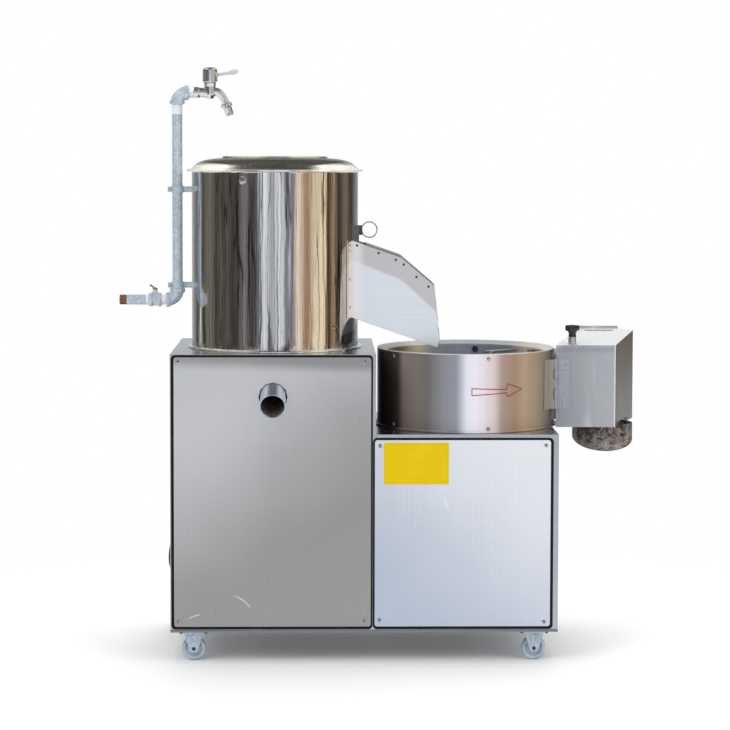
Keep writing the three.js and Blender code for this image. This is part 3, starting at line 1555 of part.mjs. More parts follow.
const coilLine = withStraightEnds(coilPoints(), 2 * leadRadius);
piece(machine, 'lead_coil', tubeThrough(coilLine, leadRadius, coilSides), blackRubber);
const leadCurve = new THREE.CatmullRomCurve3(leadRoute.map((point) => new THREE.Vector3(...point)), false, 'centripetal');
const coilEntry = coilLine[0].clone().addScaledVector(coilLine[0].clone().sub(coilLine[1]).normalize(), seat);
console.log('coil entry', coilEntry.toArray());
piece(machine, 'power_lead', tubeThrough(leadCurve.getSpacedPoints(leadSteps), leadRadius, leadSides), blackRubber);
console.log('least gap between the turns of the lead, mm:', leastSelfGap(coilLine, 2 * leadRadius).toFixed(2));
console.log('lead length, mm:', (leadCurve.getLength() + lineLength(coilLine)).toFixed(0));

// Plug: moulded grip and three pins, lying on the floor where the coil ends

const plugLength = 44;
const plugRadius = 14;
const plugNeckRadius = 7;
const pinLength = 18;
const pinSize = 4;
const pinSpread = 10;

function plug() {
  const grip = revolve([
    [0, 0], [plugNeckRadius, 0], [plugNeckRadius * 1.2, plugLength / 3], [plugRadius, plugLength / 2],
    [plugRadius, plugLength], [0, plugLength],
  ], smallFacets);
  const pins = [[0, pinSpread / 2], [-pinSpread / 2, -pinSpread / 2], [pinSpread / 2, -pinSpread / 2]].map(([x, y]) =>
    slab([x - pinSize / 2, y - pinSize / 4, plugLength - seat], [x + pinSize / 2, y + pinSize / 4, plugLength + pinLength])
  );
  const squash = slab([-plugRadius, -leadFloor + seat, -overrun], [plugRadius, 2 * plugRadius, plugLength * 2]);
  return common(join(grip, ...pins), squash);
}
const plugHeading = coilLine.at(-1).clone().sub(coilLine.at(-2)).setZ(0).normalize();
const plugMesh = piece(machine, 'plug', plug(), blackRubber);
plugMesh.position.copy(coilLine.at(-1).clone().addScaledVector(plugHeading, seat));
plugMesh.quaternion.setFromRotationMatrix(new THREE.Matrix4().makeBasis(
  new THREE.Vector3().crossVectors(axisZ, plugHeading), axisZ, plugHeading
));

// Origin under the middle of the machine, on the floor, the lead and its plug left out

const leadNames = ['power_lead', 'lead_coil', 'plug'];
machine.updateMatrixWorld(true);
const extent = new THREE.Box3();
machine.traverse((node) => {
  if (node.isMesh && !leadNames.includes(node.name)) extent.expandByObject(node, true);
});
const centre = extent.getCenter(new THREE.Vector3());
machine.position.set(-centre.x, -centre.y, -extent.min.z);
machine.updateMatrixWorld(true);

export default machine;
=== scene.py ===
"""Potato peeling and slicing machine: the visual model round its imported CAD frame."""

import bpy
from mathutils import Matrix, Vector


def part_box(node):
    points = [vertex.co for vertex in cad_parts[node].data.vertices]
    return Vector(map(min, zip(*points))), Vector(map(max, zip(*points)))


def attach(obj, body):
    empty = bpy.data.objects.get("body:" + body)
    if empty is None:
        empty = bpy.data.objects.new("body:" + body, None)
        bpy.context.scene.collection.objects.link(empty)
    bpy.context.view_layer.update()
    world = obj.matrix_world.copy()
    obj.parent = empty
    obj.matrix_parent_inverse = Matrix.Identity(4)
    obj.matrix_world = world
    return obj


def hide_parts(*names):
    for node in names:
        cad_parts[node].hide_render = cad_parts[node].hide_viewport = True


bl_info = {
    "name": "Potato peeler and slicer",
    "version": (1, 0, 0),
    "blender": (4, 5, 0),
    "location": "View3D > Sidebar > Peeler",
    "description": "Builds the drums, cabinets, water line and stage of a catering potato peeler",
    "category": "Add Mesh",
}

import math

import bmesh
import bpy
from bpy.props import FloatProperty, FloatVectorProperty, IntProperty, PointerProperty
from mathutils import Matrix, Vector

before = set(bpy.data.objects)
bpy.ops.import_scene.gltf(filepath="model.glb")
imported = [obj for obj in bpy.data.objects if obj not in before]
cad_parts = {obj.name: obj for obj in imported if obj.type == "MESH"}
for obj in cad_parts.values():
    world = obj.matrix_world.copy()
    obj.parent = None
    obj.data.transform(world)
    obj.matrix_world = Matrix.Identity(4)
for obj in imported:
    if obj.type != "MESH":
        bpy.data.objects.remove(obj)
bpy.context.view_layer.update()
MILLIMETRE = 0.001
TURN = 2 * math.pi
SHEET = 1.5
CABINET_DEPTH = 420
DRUM_X, DRUM_Y, DECK = 209, 210, 633
SLICER_X, SLICER_DECK = 612.6, 470
DRUM_RADIUS, DRUM_HEIGHT, DRUM_WALL = 175, 372, 2
SLICER_RADIUS, SLICER_HEIGHT = 187, 163
HOOD_SLOPE = 19 / 171
RISER_X, RISER_Y = -203, -40
PIPE_RADIUS, PIPE_BORE = 10.65, 8
LOWER_ELBOW, UPPER_ELBOW, ELBOW_REACH = 101, 533, 24
TAP_REACH = 68.5
KNOB_RADIUS, KNOB_LOBE = 15, 1
WHEEL_AXLE = 25
SWITCH_FACE, SWITCH_Y, SWITCH_HEIGHTS = -15.3, 366, (381, 343)
CAMERA_PLACE, CAMERA_TURN, CAMERA_RISE = (-0.1298, -4.6887, 1.027), (86.61, -0.13, -1.15), -0.1
ORIGIN = Vector((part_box("left_cabinet")[0].x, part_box("left_front_panel")[0].y, 0))


def at(x, y, z):
    return Matrix.Translation((x, y, z))


def spun(degrees, axis="Z"):
    return Matrix.Rotation(math.radians(degrees), 4, axis)


def row(x, y, z):
    """A point of the machine, in millimetres from its front left foot, in the frame's metres"""
    return Vector((x, y, z)) * MILLIMETRE + ORIGIN


def rows(points):
    """Points of the machine's front, millimetres across and up, in the frame's metres"""
    return [row(x, 0, z) for x, z in points]


TO_Y, TO_X, TO_MINUS_X = spun(90, "X"), spun(90, "Y"), spun(-90, "Y")
PEELER = at(DRUM_X, DRUM_Y, DECK)
SLICER = at(SLICER_X, DRUM_Y, SLICER_DECK)
RISER = PEELER @ at(RISER_X, RISER_Y, 0)
DRAIN = PEELER @ at(0, -DRUM_Y, -86) @ spun(110, "X")
DRUM_AXIS = row(DRUM_X, DRUM_Y, DECK)
SLICER_AXIS = row(SLICER_X, DRUM_Y, SLICER_DECK)


def length_setting(name, description, default, low, high):
    return FloatProperty(
        name=name, description=description, default=default, min=low, max=high, subtype="DISTANCE", unit="LENGTH",
    )


def colour_setting(name, description, *default):
    return FloatVectorProperty(
        name=name, description=description, default=default, subtype="COLOR", size=3, min=0, max=1,
    )


class MachineSizes(bpy.types.PropertyGroup):
    """Lengths that change how fine the fittings look"""

    edge_round: length_setting("Edge round", "Rounding of the sheet steel edges", 0.0006, 0.0001, 0.003)
    screw_radius: length_setting("Panel screw radius", "Head radius of the panels' screws", 0.0042, 0.002, 0.008)
    rivet_radius: length_setting("Rivet radius", "Head radius of the slicing drum's rivets", 0.0044, 0.002, 0.008)
    ring_wire: length_setting("Ring wire", "Thickness of the gate's pull ring", 0.0026, 0.001, 0.006)
    drum_steps: IntProperty(name="Drum steps", description="Faces round each drum", default=160, min=48, max=256)


class MachineColours(bpy.types.PropertyGroup):
    """Colours of the finishes"""

    left_panel: colour_setting("Left panel", "Brushed steel of the left front panel", 0.60, 0.60, 0.61)
    right_panel: colour_setting("Right panel", "Brushed steel of the right front panel", 0.66, 0.72, 0.80)
    plate: colour_setting("Plate", "Plain plate on the right front panel", 0.71, 0.50, 0.0)
    arrow: colour_setting("Arrow", "Painted outline of the arrow on the slicing drum", 0.24, 0.006, 0.015)
    galvanised: colour_setting("Galvanised", "Zinc on the pipes and fittings", 0.53, 0.61, 0.71)
    wheel: colour_setting("Wheel", "Rubber of the caster wheels", 0.35, 0.43, 0.50)


class StageSettings(bpy.types.PropertyGroup):
    """Camera and light"""

    lens: FloatProperty(
        name="Lens", description="Focal length of the camera, in millimetres", default=110, min=20, max=300,
        unit="CAMERA",
    )
    floor: colour_setting("Floor", "Colour of the floor", 0.86, 0.86, 0.86)
    ambient: FloatProperty(
        name="Ambient", description="Strength of the light from all round", default=0.55, min=0, max=2,
    )
    surround_radius: length_setting("Surround radius", "Distance of the dome that the steel mirrors", 6.0, 2, 20)


# Shader nodes


def combined(operation, swapped=False):
    """An arithmetic operator that adds one Math node"""
    def method(self, other):
        first, second = (other, self) if swapped else (self, other)
        return self.nodes.add("Math", {"operation": operation}, {0: first, 1: second})
    return method


class Value:
    """One output of a shader node, used in ordinary arithmetic"""

    def __init__(self, nodes, socket):
        self.nodes = nodes
        self.socket = socket

    __add__, __radd__ = combined("ADD"), combined("ADD", True)
    __sub__, __rsub__ = combined("SUBTRACT"), combined("SUBTRACT", True)
    __mul__, __rmul__ = combined("MULTIPLY"), combined("MULTIPLY", True)
    __truediv__, __rtruediv__ = combined("DIVIDE"), combined("DIVIDE", True)

    def math(self, operation, other=None):
        inputs = {0: self} if other is None else {0: self, 1: other}
        return self.nodes.add("Math", {"operation": operation}, inputs)

    def clamped(self):
        return self.nodes.add("Math", {"operation": "ADD", "use_clamp": True}, {0: self, 1: 0})

    def smooth(self, low, high):
        """0 below low and 1 above high, or the other way round, with a soft step between"""
        sockets = {"Value": self, "From Min": low, "From Max": high}
        return self.nodes.add("MapRange", {"interpolation_type": "SMOOTHSTEP"}, sockets)


class Nodes:
    """A node tree and the one way to add nodes to it"""

    def __init__(self, tree):
        self.tree = tree
        tree.nodes.clear()

    def add(self, kind, settings, inputs, output=0):
        node = self.tree.nodes.new("ShaderNode" + kind)
        for key, value in settings.items():
            if key != "stops":
                setattr(node, key, value)
                continue
            elements = node.color_ramp.elements
            while len(elements) < len(value):
                elements.new(0.5)
            for element, (place, tone) in zip(elements, value):
                element.position = place
                element.color = (*tone, 1)
        for key, value in inputs.items():
            socket = node.inputs[key]
            if isinstance(value, Value):
                self.tree.links.new(value.socket, socket)
            else:
                flat = socket.type == "RGBA" and len(value) == 3
                socket.default_value = (*value, 1) if flat else value
        return Value(self, node.outputs[output]) if len(node.outputs) else node

    def position(self):
        return self.add("TexCoord", {}, {}, "Object")

    def axes(self, vector):
        node = self.add("SeparateXYZ", {}, {0: vector}).socket.node
        return [Value(self, socket) for socket in node.outputs]

    def vector(self, x, y, z):
        return self.add("CombineXYZ", {}, {0: x, 1: y, 2: z})

    def facing(self):
        """The surface's own direction, as three values"""
        return self.axes(self.add("NewGeometry", {}, {}, "Normal"))

    def stretched(self, vector, sizes):
        return self.add("VectorMath", {"operation": "MULTIPLY"}, {0: vector, 1: sizes})

    def noise(self, vector, scale, detail=3.0, roughness=0.5, distortion=0.0):
        return self.add("TexNoise", {}, {
            "Vector": vector, "Scale": scale, "Detail": detail, "Roughness": roughness, "Distortion": distortion,
        })

    def mix(self, factor, first, second, blend="MIX"):
        return self.add("Mix", {"data_type": "RGBA", "blend_type": blend}, {0: factor, 6: first, 7: second}, 2)

    def ramp(self, factor, bands):
        """Soft bands of display levels, each as a place followed by its levels"""
        stops = [(place, colour(*levels)) for place, *levels in bands]
        return self.add("ValToRGB", {"stops": stops}, {0: factor}, "Color")

    def bump(self, height, strength, distance, **normal):
        return self.add("Bump", {}, {"Height": height, "Strength": strength, "Distance": distance, **normal})

    def round_axis(self, axis):
        """Angle round an upright axis in turns, radius and height above its foot, in metres"""
        x, y, z = self.axes(self.position())
        across, along = x - axis.x, y - axis.y
        angle = along.math("ARCTAN2", across) / TURN
        radius = (across * across + along * along).math("SQRT")
        return angle, radius, z - axis.z


def colour(*levels):
    """Display levels of 0 to 255, or one level of grey, as a shader's linear colour"""
    parts = [level / 255 for level in (levels if len(levels) == 3 else levels * 3)]
    return tuple(part / 12.92 if part <= 0.04045 else ((part + 0.055) / 1.055) ** 2.4 for part in parts)


def chosen(name):
    """A finish's colour as the user has set it"""
    return tuple(getattr(bpy.context.scene.machine_colours, name))


def grained(nodes, tint, along, fineness=1.0, cloud=0.10, rough=0.30, depth=0.12):
    """Steel with a fine grain that runs along one axis, faint clouds and rougher streaks"""
    place = nodes.position()

    def drawn(across, lengthways, detail):
        squeeze = [across * fineness] * 3
        squeeze["XYZ".index(along)] = lengthways * fineness
        return nodes.noise(nodes.stretched(place, squeeze), 1.0, detail)

    hair, streak = drawn(1400, 9, 2.0), drawn(160, 3, 3.0)
    clouds = nodes.noise(place, 5.0, 4.0)
    shade = 1 - cloud / 2 + (clouds - 0.5) * cloud + (streak - 0.5) * 0.14 + (hair - 0.5) * 0.10
    return {
        "Base Color": nodes.mix(1.0, tint, shade, "MULTIPLY"),
        "Roughness": rough + (streak - 0.5) * 0.16 + (clouds - 0.5) * 0.10,
        "Normal": nodes.bump(hair + streak * 0.5, depth, 0.0004),
    }


def stained(nodes, scale, detail, edges, first, second, rough, bump, stretch=None):
    """A finish in two colours, shared out, roughened and dented by the clouds of one noise"""
    place = nodes.position()
    stain = nodes.noise(nodes.stretched(place, stretch) if stretch else place, scale, detail)
    share = stain.smooth(*edges) if len(edges) == 2 else stain * edges[0] if edges else stain
    look = {"Base Color": nodes.mix(share, first, second), "Roughness": rough[0] + stain * rough[1]}
    return {**look, "Normal": nodes.bump(stain, *bump)} if bump else look


def moulded(nodes, dark, pale, rough, grain=900.0):
    """Rubber or plastic with a fine moulded grain and slight wear"""
    place = nodes.position()
    fine = nodes.noise(place, grain, 2.0)
    wear = nodes.noise(place, 45.0, 4.0)
    return {
        "Base Color": nodes.mix(wear.smooth(0.35, 0.8), dark, pale),
        "Roughness": rough + (wear - 0.5) * 0.16,
        "Normal": nodes.bump(fine, 0.15, 0.0004),
    }


def scratch(x, z, ends, bow, width):
    """Mask of one thin bowed scratch on an upright sheet, between two points across and up"""
    start, end = rows(ends)
    reach = math.hypot(end.x - start.x, end.z - start.z)
    ux, uz = (end.x - start.x) / reach, (end.z - start.z) / reach
    along = ((x - start.x) * ux + (z - start.z) * uz) / reach
    bulge = along * (1 - along) * (4 * bow)
    off = ((z - start.z) * ux - (x - start.x) * uz - bulge).math("ABSOLUTE")
    return off.smooth(width, width * 0.2) * along.smooth(0, 0.35) * along.smooth(1, 0.8)


def panel_shares(nodes, low, high):
    """Position across and up, in metres, and both as shares of a front panel"""
    x, y, z = nodes.axes(nodes.position())
    low, high = rows((low, high))
    return x, z, (x - low.x) / (high.x - low.x), (z - low.z) / (high.z - low.z)


def look_cabinet(nodes):
    look = grained(nodes, colour(196, 199, 205), "X", 0.8, 0.12, 0.24)
    right, back, up = nodes.facing()
    # Painted light: faces that look to the front are painted darker as painted shade, and faces that look up are
    # painted paler as a painted reflection of the bright room above.
    front = back.smooth(-0.5, -0.9)
    with_painted_light = nodes.mix(front * 0.75, look["Base Color"], colour(171, 174, 184))
    look["Base Color"] = nodes.mix(up.smooth(0.5, 0.9) * 0.8, with_painted_light, colour(236, 239, 243))
    return look


def look_left_panel(nodes):
    look = grained(nodes, chosen("left_panel"), "Z", 1.0, 0.10, 0.30, 0.06)
    x, z, across, up = panel_shares(nodes, (0, 77), (408, 628))
    wander = nodes.noise(nodes.position(), 2.6, 2.0) - 0.5
    # Painted light: the panel is painted paler upwards and to the left and darker towards the bottom right as
    # painted shading, with a painted shadow band along its top under the deck and the drain; the two scratches below
    # are real wear.
    pale = (up * 0.75 - across * 0.35 + wander * 0.5 - up.smooth(0.93, 1.0) * 0.62).smooth(-0.08, 0.60)
    with_painted_light = nodes.mix(pale, colour(142, 140, 141), colour(208, 210, 215))
    first = scratch(x, z, ((122, 142), (165, 112)), 0.006, 0.0014)
    second = scratch(x, z, ((34, 92), (64, 102)), 0.002, 0.0012)
    worn = nodes.mix((first + second).clamped() * 0.8, with_painted_light, colour(246))
    look["Base Color"] = nodes.mix(0.8, look["Base Color"], worn)
    return look


def look_right_panel(nodes):
    look = grained(nodes, chosen("right_panel"), "Z", 1.0, 0.08, 0.30, 0.05)
    x, z, across, up = panel_shares(nodes, (416, 77), (774, 459))
    wander = nodes.noise(nodes.position(), 3.0, 2.0) - 0.5
    # Painted light: the panel is painted paler upwards and to the right and darker towards the bottom left as
    # painted shading; the mark below is a real scratch.
    pale = (up * 0.78 + across * 0.42 + wander * 0.4).smooth(0.12, 1.2)
    with_painted_light = nodes.mix(pale, colour(177, 187, 206), colour(246, 247, 250))
    mark = scratch(x, z, ((557, 346), (569, 312)), -0.002, 0.0022)
    look["Base Color"] = nodes.mix(0.8, look["Base Color"], nodes.mix(mark * 0.8, with_painted_light, colour(248, 248, 250)))
    return look


def look_chute(nodes):
    look = grained(nodes, colour(236, 243, 251), "X", 1.0, 0.06, 0.34, 0.04)
    x, y, z = nodes.axes(nodes.position())
    start, knee, end = (row(DRUM_X + out, 0, DECK + up) for out, up in ((160, 227), (265, 191), (333, 133)))
    slope = (knee.z - start.z) / (knee.x - start.x)
    steep = (end.z - knee.z) / (end.x - knee.x)
    # Painted shade: a greyer band painted along the top edges of the cheeks; painted highlight: the cheeks are
    # painted paler where they meet the drum.
    upper = (z - start.z - (x - start.x) * slope).math("MAXIMUM", z - knee.z - (x - knee.x) * steep)
    band = (upper + (x - start.x) * 0.06).smooth(-0.045, -0.036)
    dim, bright = rows(((402, 0), (380, 0)))
    with_painted_light = nodes.mix(band * 0.85, look["Base Color"], colour(204, 202, 204))
    look["Base Color"] = nodes.mix(x.smooth(dim.x, bright.x) * 0.7, with_painted_light, colour(250, 250, 252))
    return look


def look_hood(nodes):
    look = grained(nodes, colour(153, 156, 162), "Z", 1.0, 0.14, 0.30, 0.05)
    place = nodes.position()
    x, y, z = nodes.axes(place)
    right, back, up = nodes.facing()

    def along(start, end):
        return x.smooth(row(start, 0, 0).x, row(end, 0, 0).x)

    def upward(start, end):
        return z.smooth(row(0, 0, start).z, row(0, 0, end).z)

    weave = nodes.add("TexWave", {"bands_direction": "DIAGONAL"}, {
        "Vector": place, "Scale": 62.0, "Distortion": 7.0, "Detail": 2.0,
    })
    bend = nodes.noise(nodes.stretched(place, (22, 22, 5)), 1.0, 2.0, 0.5, 0.6)
    # Painted light on the front: paler towards the right, paler smeared streaks as painted sheen, a darker band just
    # under the top edge as painted shade, and a bright line down the right corner as a painted highlight.
    front = nodes.mix(along(800, 922) * 0.5, look["Base Color"], colour(186, 188, 193))
    front = nodes.mix(bend.smooth(0.52, 0.70) * 0.7, front, colour(204, 209, 222))
    front = nodes.mix(upward(622, 631) * upward(638.5, 634) * 0.4, front, colour(126, 130, 136))
    front = nodes.mix(along(919.9, 921.3) * upward(656, 650), front, colour(226, 230, 235))
    # Painted shade: the side faces are painted dark brown, darker low down, where they are also made less metallic;
    # the top is painted pale, as lit from above, under its real woven pattern.
    side, low = right.smooth(0.5, 0.8), upward(640, 480)
    with_painted_light = nodes.mix(side, front, nodes.mix(low, colour(84, 74, 64), colour(68, 62, 56)))
    weave_on_painted_pale_top = nodes.mix(weave.smooth(0.35, 0.65), colour(222, 226, 226), colour(252, 253, 252))
    look["Base Color"] = nodes.mix(up.smooth(0.6, 0.9), with_painted_light, weave_on_painted_pale_top)
    look["Metallic"] = 0.3 - side * low * 0.25
    return look


def look_hinge(nodes):
    look = grained(nodes, colour(160, 164, 173), "Z", 1.0, 0.16, 0.45, 0.06)
    x, y, z = nodes.axes(nodes.position())
    drum_side = x.smooth(SLICER_AXIS.x + 0.1805, SLICER_AXIS.x + 0.1785)
    look["Base Color"] = nodes.mix(drum_side * 0.85, look["Base Color"], colour(150, 136, 120))
    return look


def look_drain(nodes):
    look = grained(nodes, colour(214, 226, 240), "Z", 1.0, 0.22, 0.20, 0.05)
    right, back, up = nodes.facing()
    # Painted shade: the pipe is painted darker where it faces up and not to the side, so its sides read lighter as
    # painted highlights.
    shade = right.math("ABSOLUTE").smooth(0.52, 0.20) * up.smooth(0.3, 0.6)
    look["Base Color"] = nodes.mix(shade * 0.8, look["Base Color"], colour(78, 84, 92))
    return look


def polished(nodes, axis, tint, rough, waves):
    """Polished steel rolled round an upright axis, its sheet drawn in fine upright waves"""
    angle, radius, height = nodes.round_axis(axis)
    broad = nodes.noise(nodes.vector(angle * 60, height * 4, radius), 1.0, 2.0)
    fine = nodes.noise(nodes.vector(angle * 420, height * 3, radius), 1.0, 3.0)
    streak = nodes.noise(nodes.vector(angle * 150, height * 1.6, 4.0), 1.0, 3.0)
    place = nodes.position()
    smear = nodes.noise(nodes.stretched(place, (30, 30, 5)), 1.0, 4.0)
    specks = nodes.noise(place, 260.0, 2.0).smooth(0.70, 0.78)
    darker = (streak.smooth(0.56, 0.72) * 0.34 + specks * 0.3).clamped()
    return {
        "Base Color": nodes.mix(darker, tint, colour(118, 108, 98)),
        "Roughness": rough + smear.smooth(0.5, 0.8) * 0.10 + specks * 0.2,
        "Normal": nodes.bump(broad * waves + fine * (waves * 0.35), 1.0, 0.001),
    }


def look_peeler_drum(nodes):
    """Painted reflection: upright bands of pale and dark with ragged edges and white glints, as the room would show
    in the polish; a rim painted dark, a scuffed foot and rust low down
    """
    look = polished(nodes, DRUM_AXIS, colour(252), 0.035, 0.40)
    angle, radius, height = nodes.round_axis(DRUM_AXIS)
    sway = nodes.noise(nodes.vector(angle * 9, height * 5, 1.0), 1.0, 2.0) - 0.5
    shiver = nodes.noise(nodes.vector(angle * 80, height * 22, 5.0), 1.0, 3.0) - 0.5
    bent = angle + sway * 0.012 + shiver * 0.0065
    # Painted reflection: the room as the polished drum would mirror it, as upright bands, each a place across the
    # drum's front in millimetres and its display level.
    bands = [
        (-160, 255), (-128, 255), (-112, 240), (-104, 165), (-92, 165), (-84, 225), (-76, 205), (-68, 205),
        (-62, 215), (-52, 255), (-18, 252), (-2, 205), (4, 240), (20, 228), (24, 160), (31, 160), (35, 235),
        (50, 255), (68, 210), (80, 206), (84, 250), (108, 246), (111, 180), (122, 255), (126, 190), (136, 226),
        (168, 190),
    ]
    stops = [(0.25 + math.asin(across / DRUM_RADIUS) / TURN, level) for across, level in bands]
    painted_reflection_bands = nodes.ramp((bent + 0.5).math("FRACT"), stops)
    streak = nodes.noise(nodes.vector(bent * 200, height * 0.9, 9.0), 1.0, 4.0, 0.65)
    edge = (nodes.noise(nodes.vector(bent * 62, height * 1.6, 2.0), 1.0, 1.0) - 0.5).math("ABSOLUTE")
    # Ragged band edges and streaks darken the painted reflection, except in one narrow upright strip; the glints are
    # painted highlights on the drum's left half.
    lively = (angle + 0.2045).math("ABSOLUTE").smooth(0.009, 0.014)
    drawn = 1 - (edge.smooth(0.022, 0.008) * 0.55 + streak.smooth(0.54, 0.40) * 0.30) * lively
    with_painted_light = nodes.mix(1.0, nodes.mix(1.0, look["Base Color"], painted_reflection_bands, "MULTIPLY"), drawn, "MULTIPLY")
    glint = streak.smooth(0.60, 0.66) * (angle + 0.25).smooth(0.0, -0.01)
    with_painted_light = nodes.mix(glint * 0.6, with_painted_light, (1, 1, 1))
    wall = radius.smooth(0.1765, 0.1755) * height.smooth(0.003, 0.006)
    with_painted_light = nodes.mix(wall, look["Base Color"], with_painted_light)
    # Painted shade: the top few millimetres of the rim are painted dark, holding down the bright reflection of its
    # rounded bead.
    top = DRUM_HEIGHT * MILLIMETRE
    with_painted_light = nodes.mix(height.smooth(top - 0.005, top - 0.003) * 0.6, with_painted_light, colour(96, 94, 90))
    scuffed = (height + edge * 0.08 + streak * 0.012).smooth(0.026, 0.016)
    look["Roughness"] = look["Roughness"] + scuffed * wall * 0.28
    rust = nodes.noise(nodes.position(), 90.0, 4.0).smooth(0.62, 0.72) * height.smooth(0.07, 0.0)
    look["Base Color"] = nodes.mix(rust * 0.6, with_painted_light, colour(120, 78, 48))
    return look


def look_lid(nodes):
    """Painted reflection: dark and speckled in the middle of its slope, as the dark room mirrored there; painted
    highlights: bright round its foot and at its sides
    """
    look = polished(nodes, DRUM_AXIS, colour(250, 247, 238), 0.07, 0.10)
    angle, radius, height = nodes.round_axis(DRUM_AXIS)
    specks = nodes.noise(nodes.position(), 420.0, 3.0)
    wander = nodes.noise(nodes.vector(angle * 14, radius * 60, 3.0), 1.0, 3.0) - 0.5
    reach = 0.21 - radius.smooth(0.156, 0.170) * 0.13
    # Painted reflection: a dark, speckled band across the middle of the slope.
    middle = ((angle + 0.25).math("ABSOLUTE") + wander * 0.06 - reach).smooth(0.02, -0.02)
    slope = radius.smooth(0.180, 0.176) * radius.smooth(0.108, 0.116)
    dark = nodes.mix(specks.smooth(0.48, 0.66), colour(74, 74, 69), colour(146, 142, 130))
    # Painted highlight: near the foot, outside the middle, the steel is made less metallic so its pale colour shows
    # bright.
    arc = radius.smooth(0.164, 0.171) * (1 - middle)
    look["Base Color"] = nodes.mix(middle * slope * 0.9, look["Base Color"], dark)
    look["Metallic"] = 0.85 - arc * 0.65
    look["Normal"] = nodes.bump(specks, 0.3, 0.0006, Normal=look["Normal"])
    return look


def look_slicer_drum(nodes):
    angle, radius, height = nodes.round_axis(SLICER_AXIS)
    grain = nodes.noise(nodes.vector(angle * 5, height * 700, radius * 40), 1.0, 2.0)
    band = nodes.noise(nodes.vector(angle * 60, height * 0.5, 3.0), 1.0, 3.0)
    # Painted reflection: the room as the drum's outer wall would mirror it, as bands, each an angle from the front
    # in degrees and display levels.
    bands = [
        (-90, 56, 55, 56), (-58, 76, 73, 72), (-52, 92, 86, 82), (-47, 172, 160, 148), (-40, 150, 140, 132),
        (-28, 132, 128, 128), (-18, 160, 163, 171), (-9, 152, 158, 168), (-3, 238, 240, 248), (8, 250, 243, 249),
        (15, 226, 214, 220), (20, 176, 160, 156), (29, 164, 140, 126), (37, 196, 178, 154), (47, 190, 170, 144),
        (58, 150, 138, 126), (72, 126, 122, 122), (90, 150, 150, 154),
    ]
    front = nodes.ramp((angle + 0.5).math("FRACT"), [(0.25 + turn / 360, *levels) for turn, *levels in bands])
    outside = radius.smooth(0.1855, 0.1862) * height.smooth(0.1645, 0.1625)
    # Painted reflection inside: tan and blue-grey tones round the inner wall, with a paler band just under its top
    # as a painted highlight.
    inner = nodes.ramp((angle * 2).clamped(), [
        (0.0, 236, 214, 178), (0.2, 226, 214, 196), (0.3, 150, 158, 176), (0.62, 160, 168, 186),
        (0.7, 240, 228, 204), (0.82, 168, 150, 124), (1.0, 226, 210, 180),
    ])
    inner = nodes.mix(height.smooth(0.1546, 0.1556) * 0.6, inner, colour(226, 228, 232))
    with_painted_light = nodes.mix(outside, inner, front)
    # Painted highlight: a bright line along the top of the outer rim.
    rim = height.smooth(0.1600, 0.1612) * radius.smooth(0.1835, 0.1845) * 0.85
    with_painted_light = nodes.mix(rim, with_painted_light, colour(236, 240, 246))
    return {
        "Base Color": nodes.mix(1.0, with_painted_light, 0.97 + (grain - 0.5) * 0.12 + (band - 0.5) * 0.14, "MULTIPLY"),
        "Roughness": 0.30 + (grain - 0.5) * 0.08,
        "Normal": nodes.bump(grain, 0.04, 0.0004),
    }


def look_galvanised(nodes):
    place = nodes.position()
    spangle = nodes.add("TexVoronoi", {"feature": "F1"}, {"Vector": place, "Scale": 260.0}, "Color")
    x, y, z = nodes.axes(spangle)
    clouds = nodes.noise(place, 40.0, 4.0)
    return {
        "Base Color": nodes.mix(1.0, chosen("galvanised"), 0.82 + x * 0.28 + (clouds - 0.5) * 0.4, "MULTIPLY"),
        "Roughness": 0.42 + y * 0.14,
        "Normal": nodes.bump(clouds + x * 0.3, 0.25, 0.0006),
    }


def look_cast(nodes):
    place = nodes.position()
    peel = nodes.noise(place, 700.0, 3.0)
    clouds = nodes.noise(place, 30.0, 3.0)
    return {
        "Base Color": nodes.mix(clouds, colour(66, 88, 104), colour(88, 108, 122)),
        "Roughness": 0.42 + peel * 0.15,
        "Normal": nodes.bump(peel, 0.3, 0.0006),
    }


def look_mottled(nodes):
    place = nodes.position()
    blotch = nodes.noise(place, 55.0, 6.0, 0.7)
    grit = nodes.noise(place, 420.0, 3.0)
    x, y, z = nodes.axes(place)
    pale = (blotch * 0.75 + grit * 0.35 - z.smooth(SLICER_AXIS.z - 0.05, SLICER_AXIS.z) * 0.06).smooth(0.42, 0.68)
    return {
        "Base Color": nodes.mix(pale, colour(62, 56, 50), colour(182, 176, 172)),
        "Roughness": 0.34 + blotch * 0.3,
        "Normal": nodes.bump(grit + blotch, 0.35, 0.0008),
    }


def look_abrasive(nodes):
    place = nodes.position()
    grit = nodes.add("TexVoronoi", {"feature": "F1"}, {"Vector": place, "Scale": 420.0}, "Distance")
    shade = nodes.noise(place, 30.0, 4.0)
    return {
        "Base Color": nodes.mix((grit * 0.7 + shade * 0.5).clamped(), colour(58, 54, 50), colour(146, 136, 122)),
        "Roughness": 0.85 + shade * 0.1,
        "Normal": nodes.bump(1 - grit, 0.8, 0.0015),
    }


def look_wheel(nodes):
    worn = tuple(min(1, part * 1.5) for part in chosen("wheel"))
    return moulded(nodes, chosen("wheel"), worn, 0.32, 300.0)


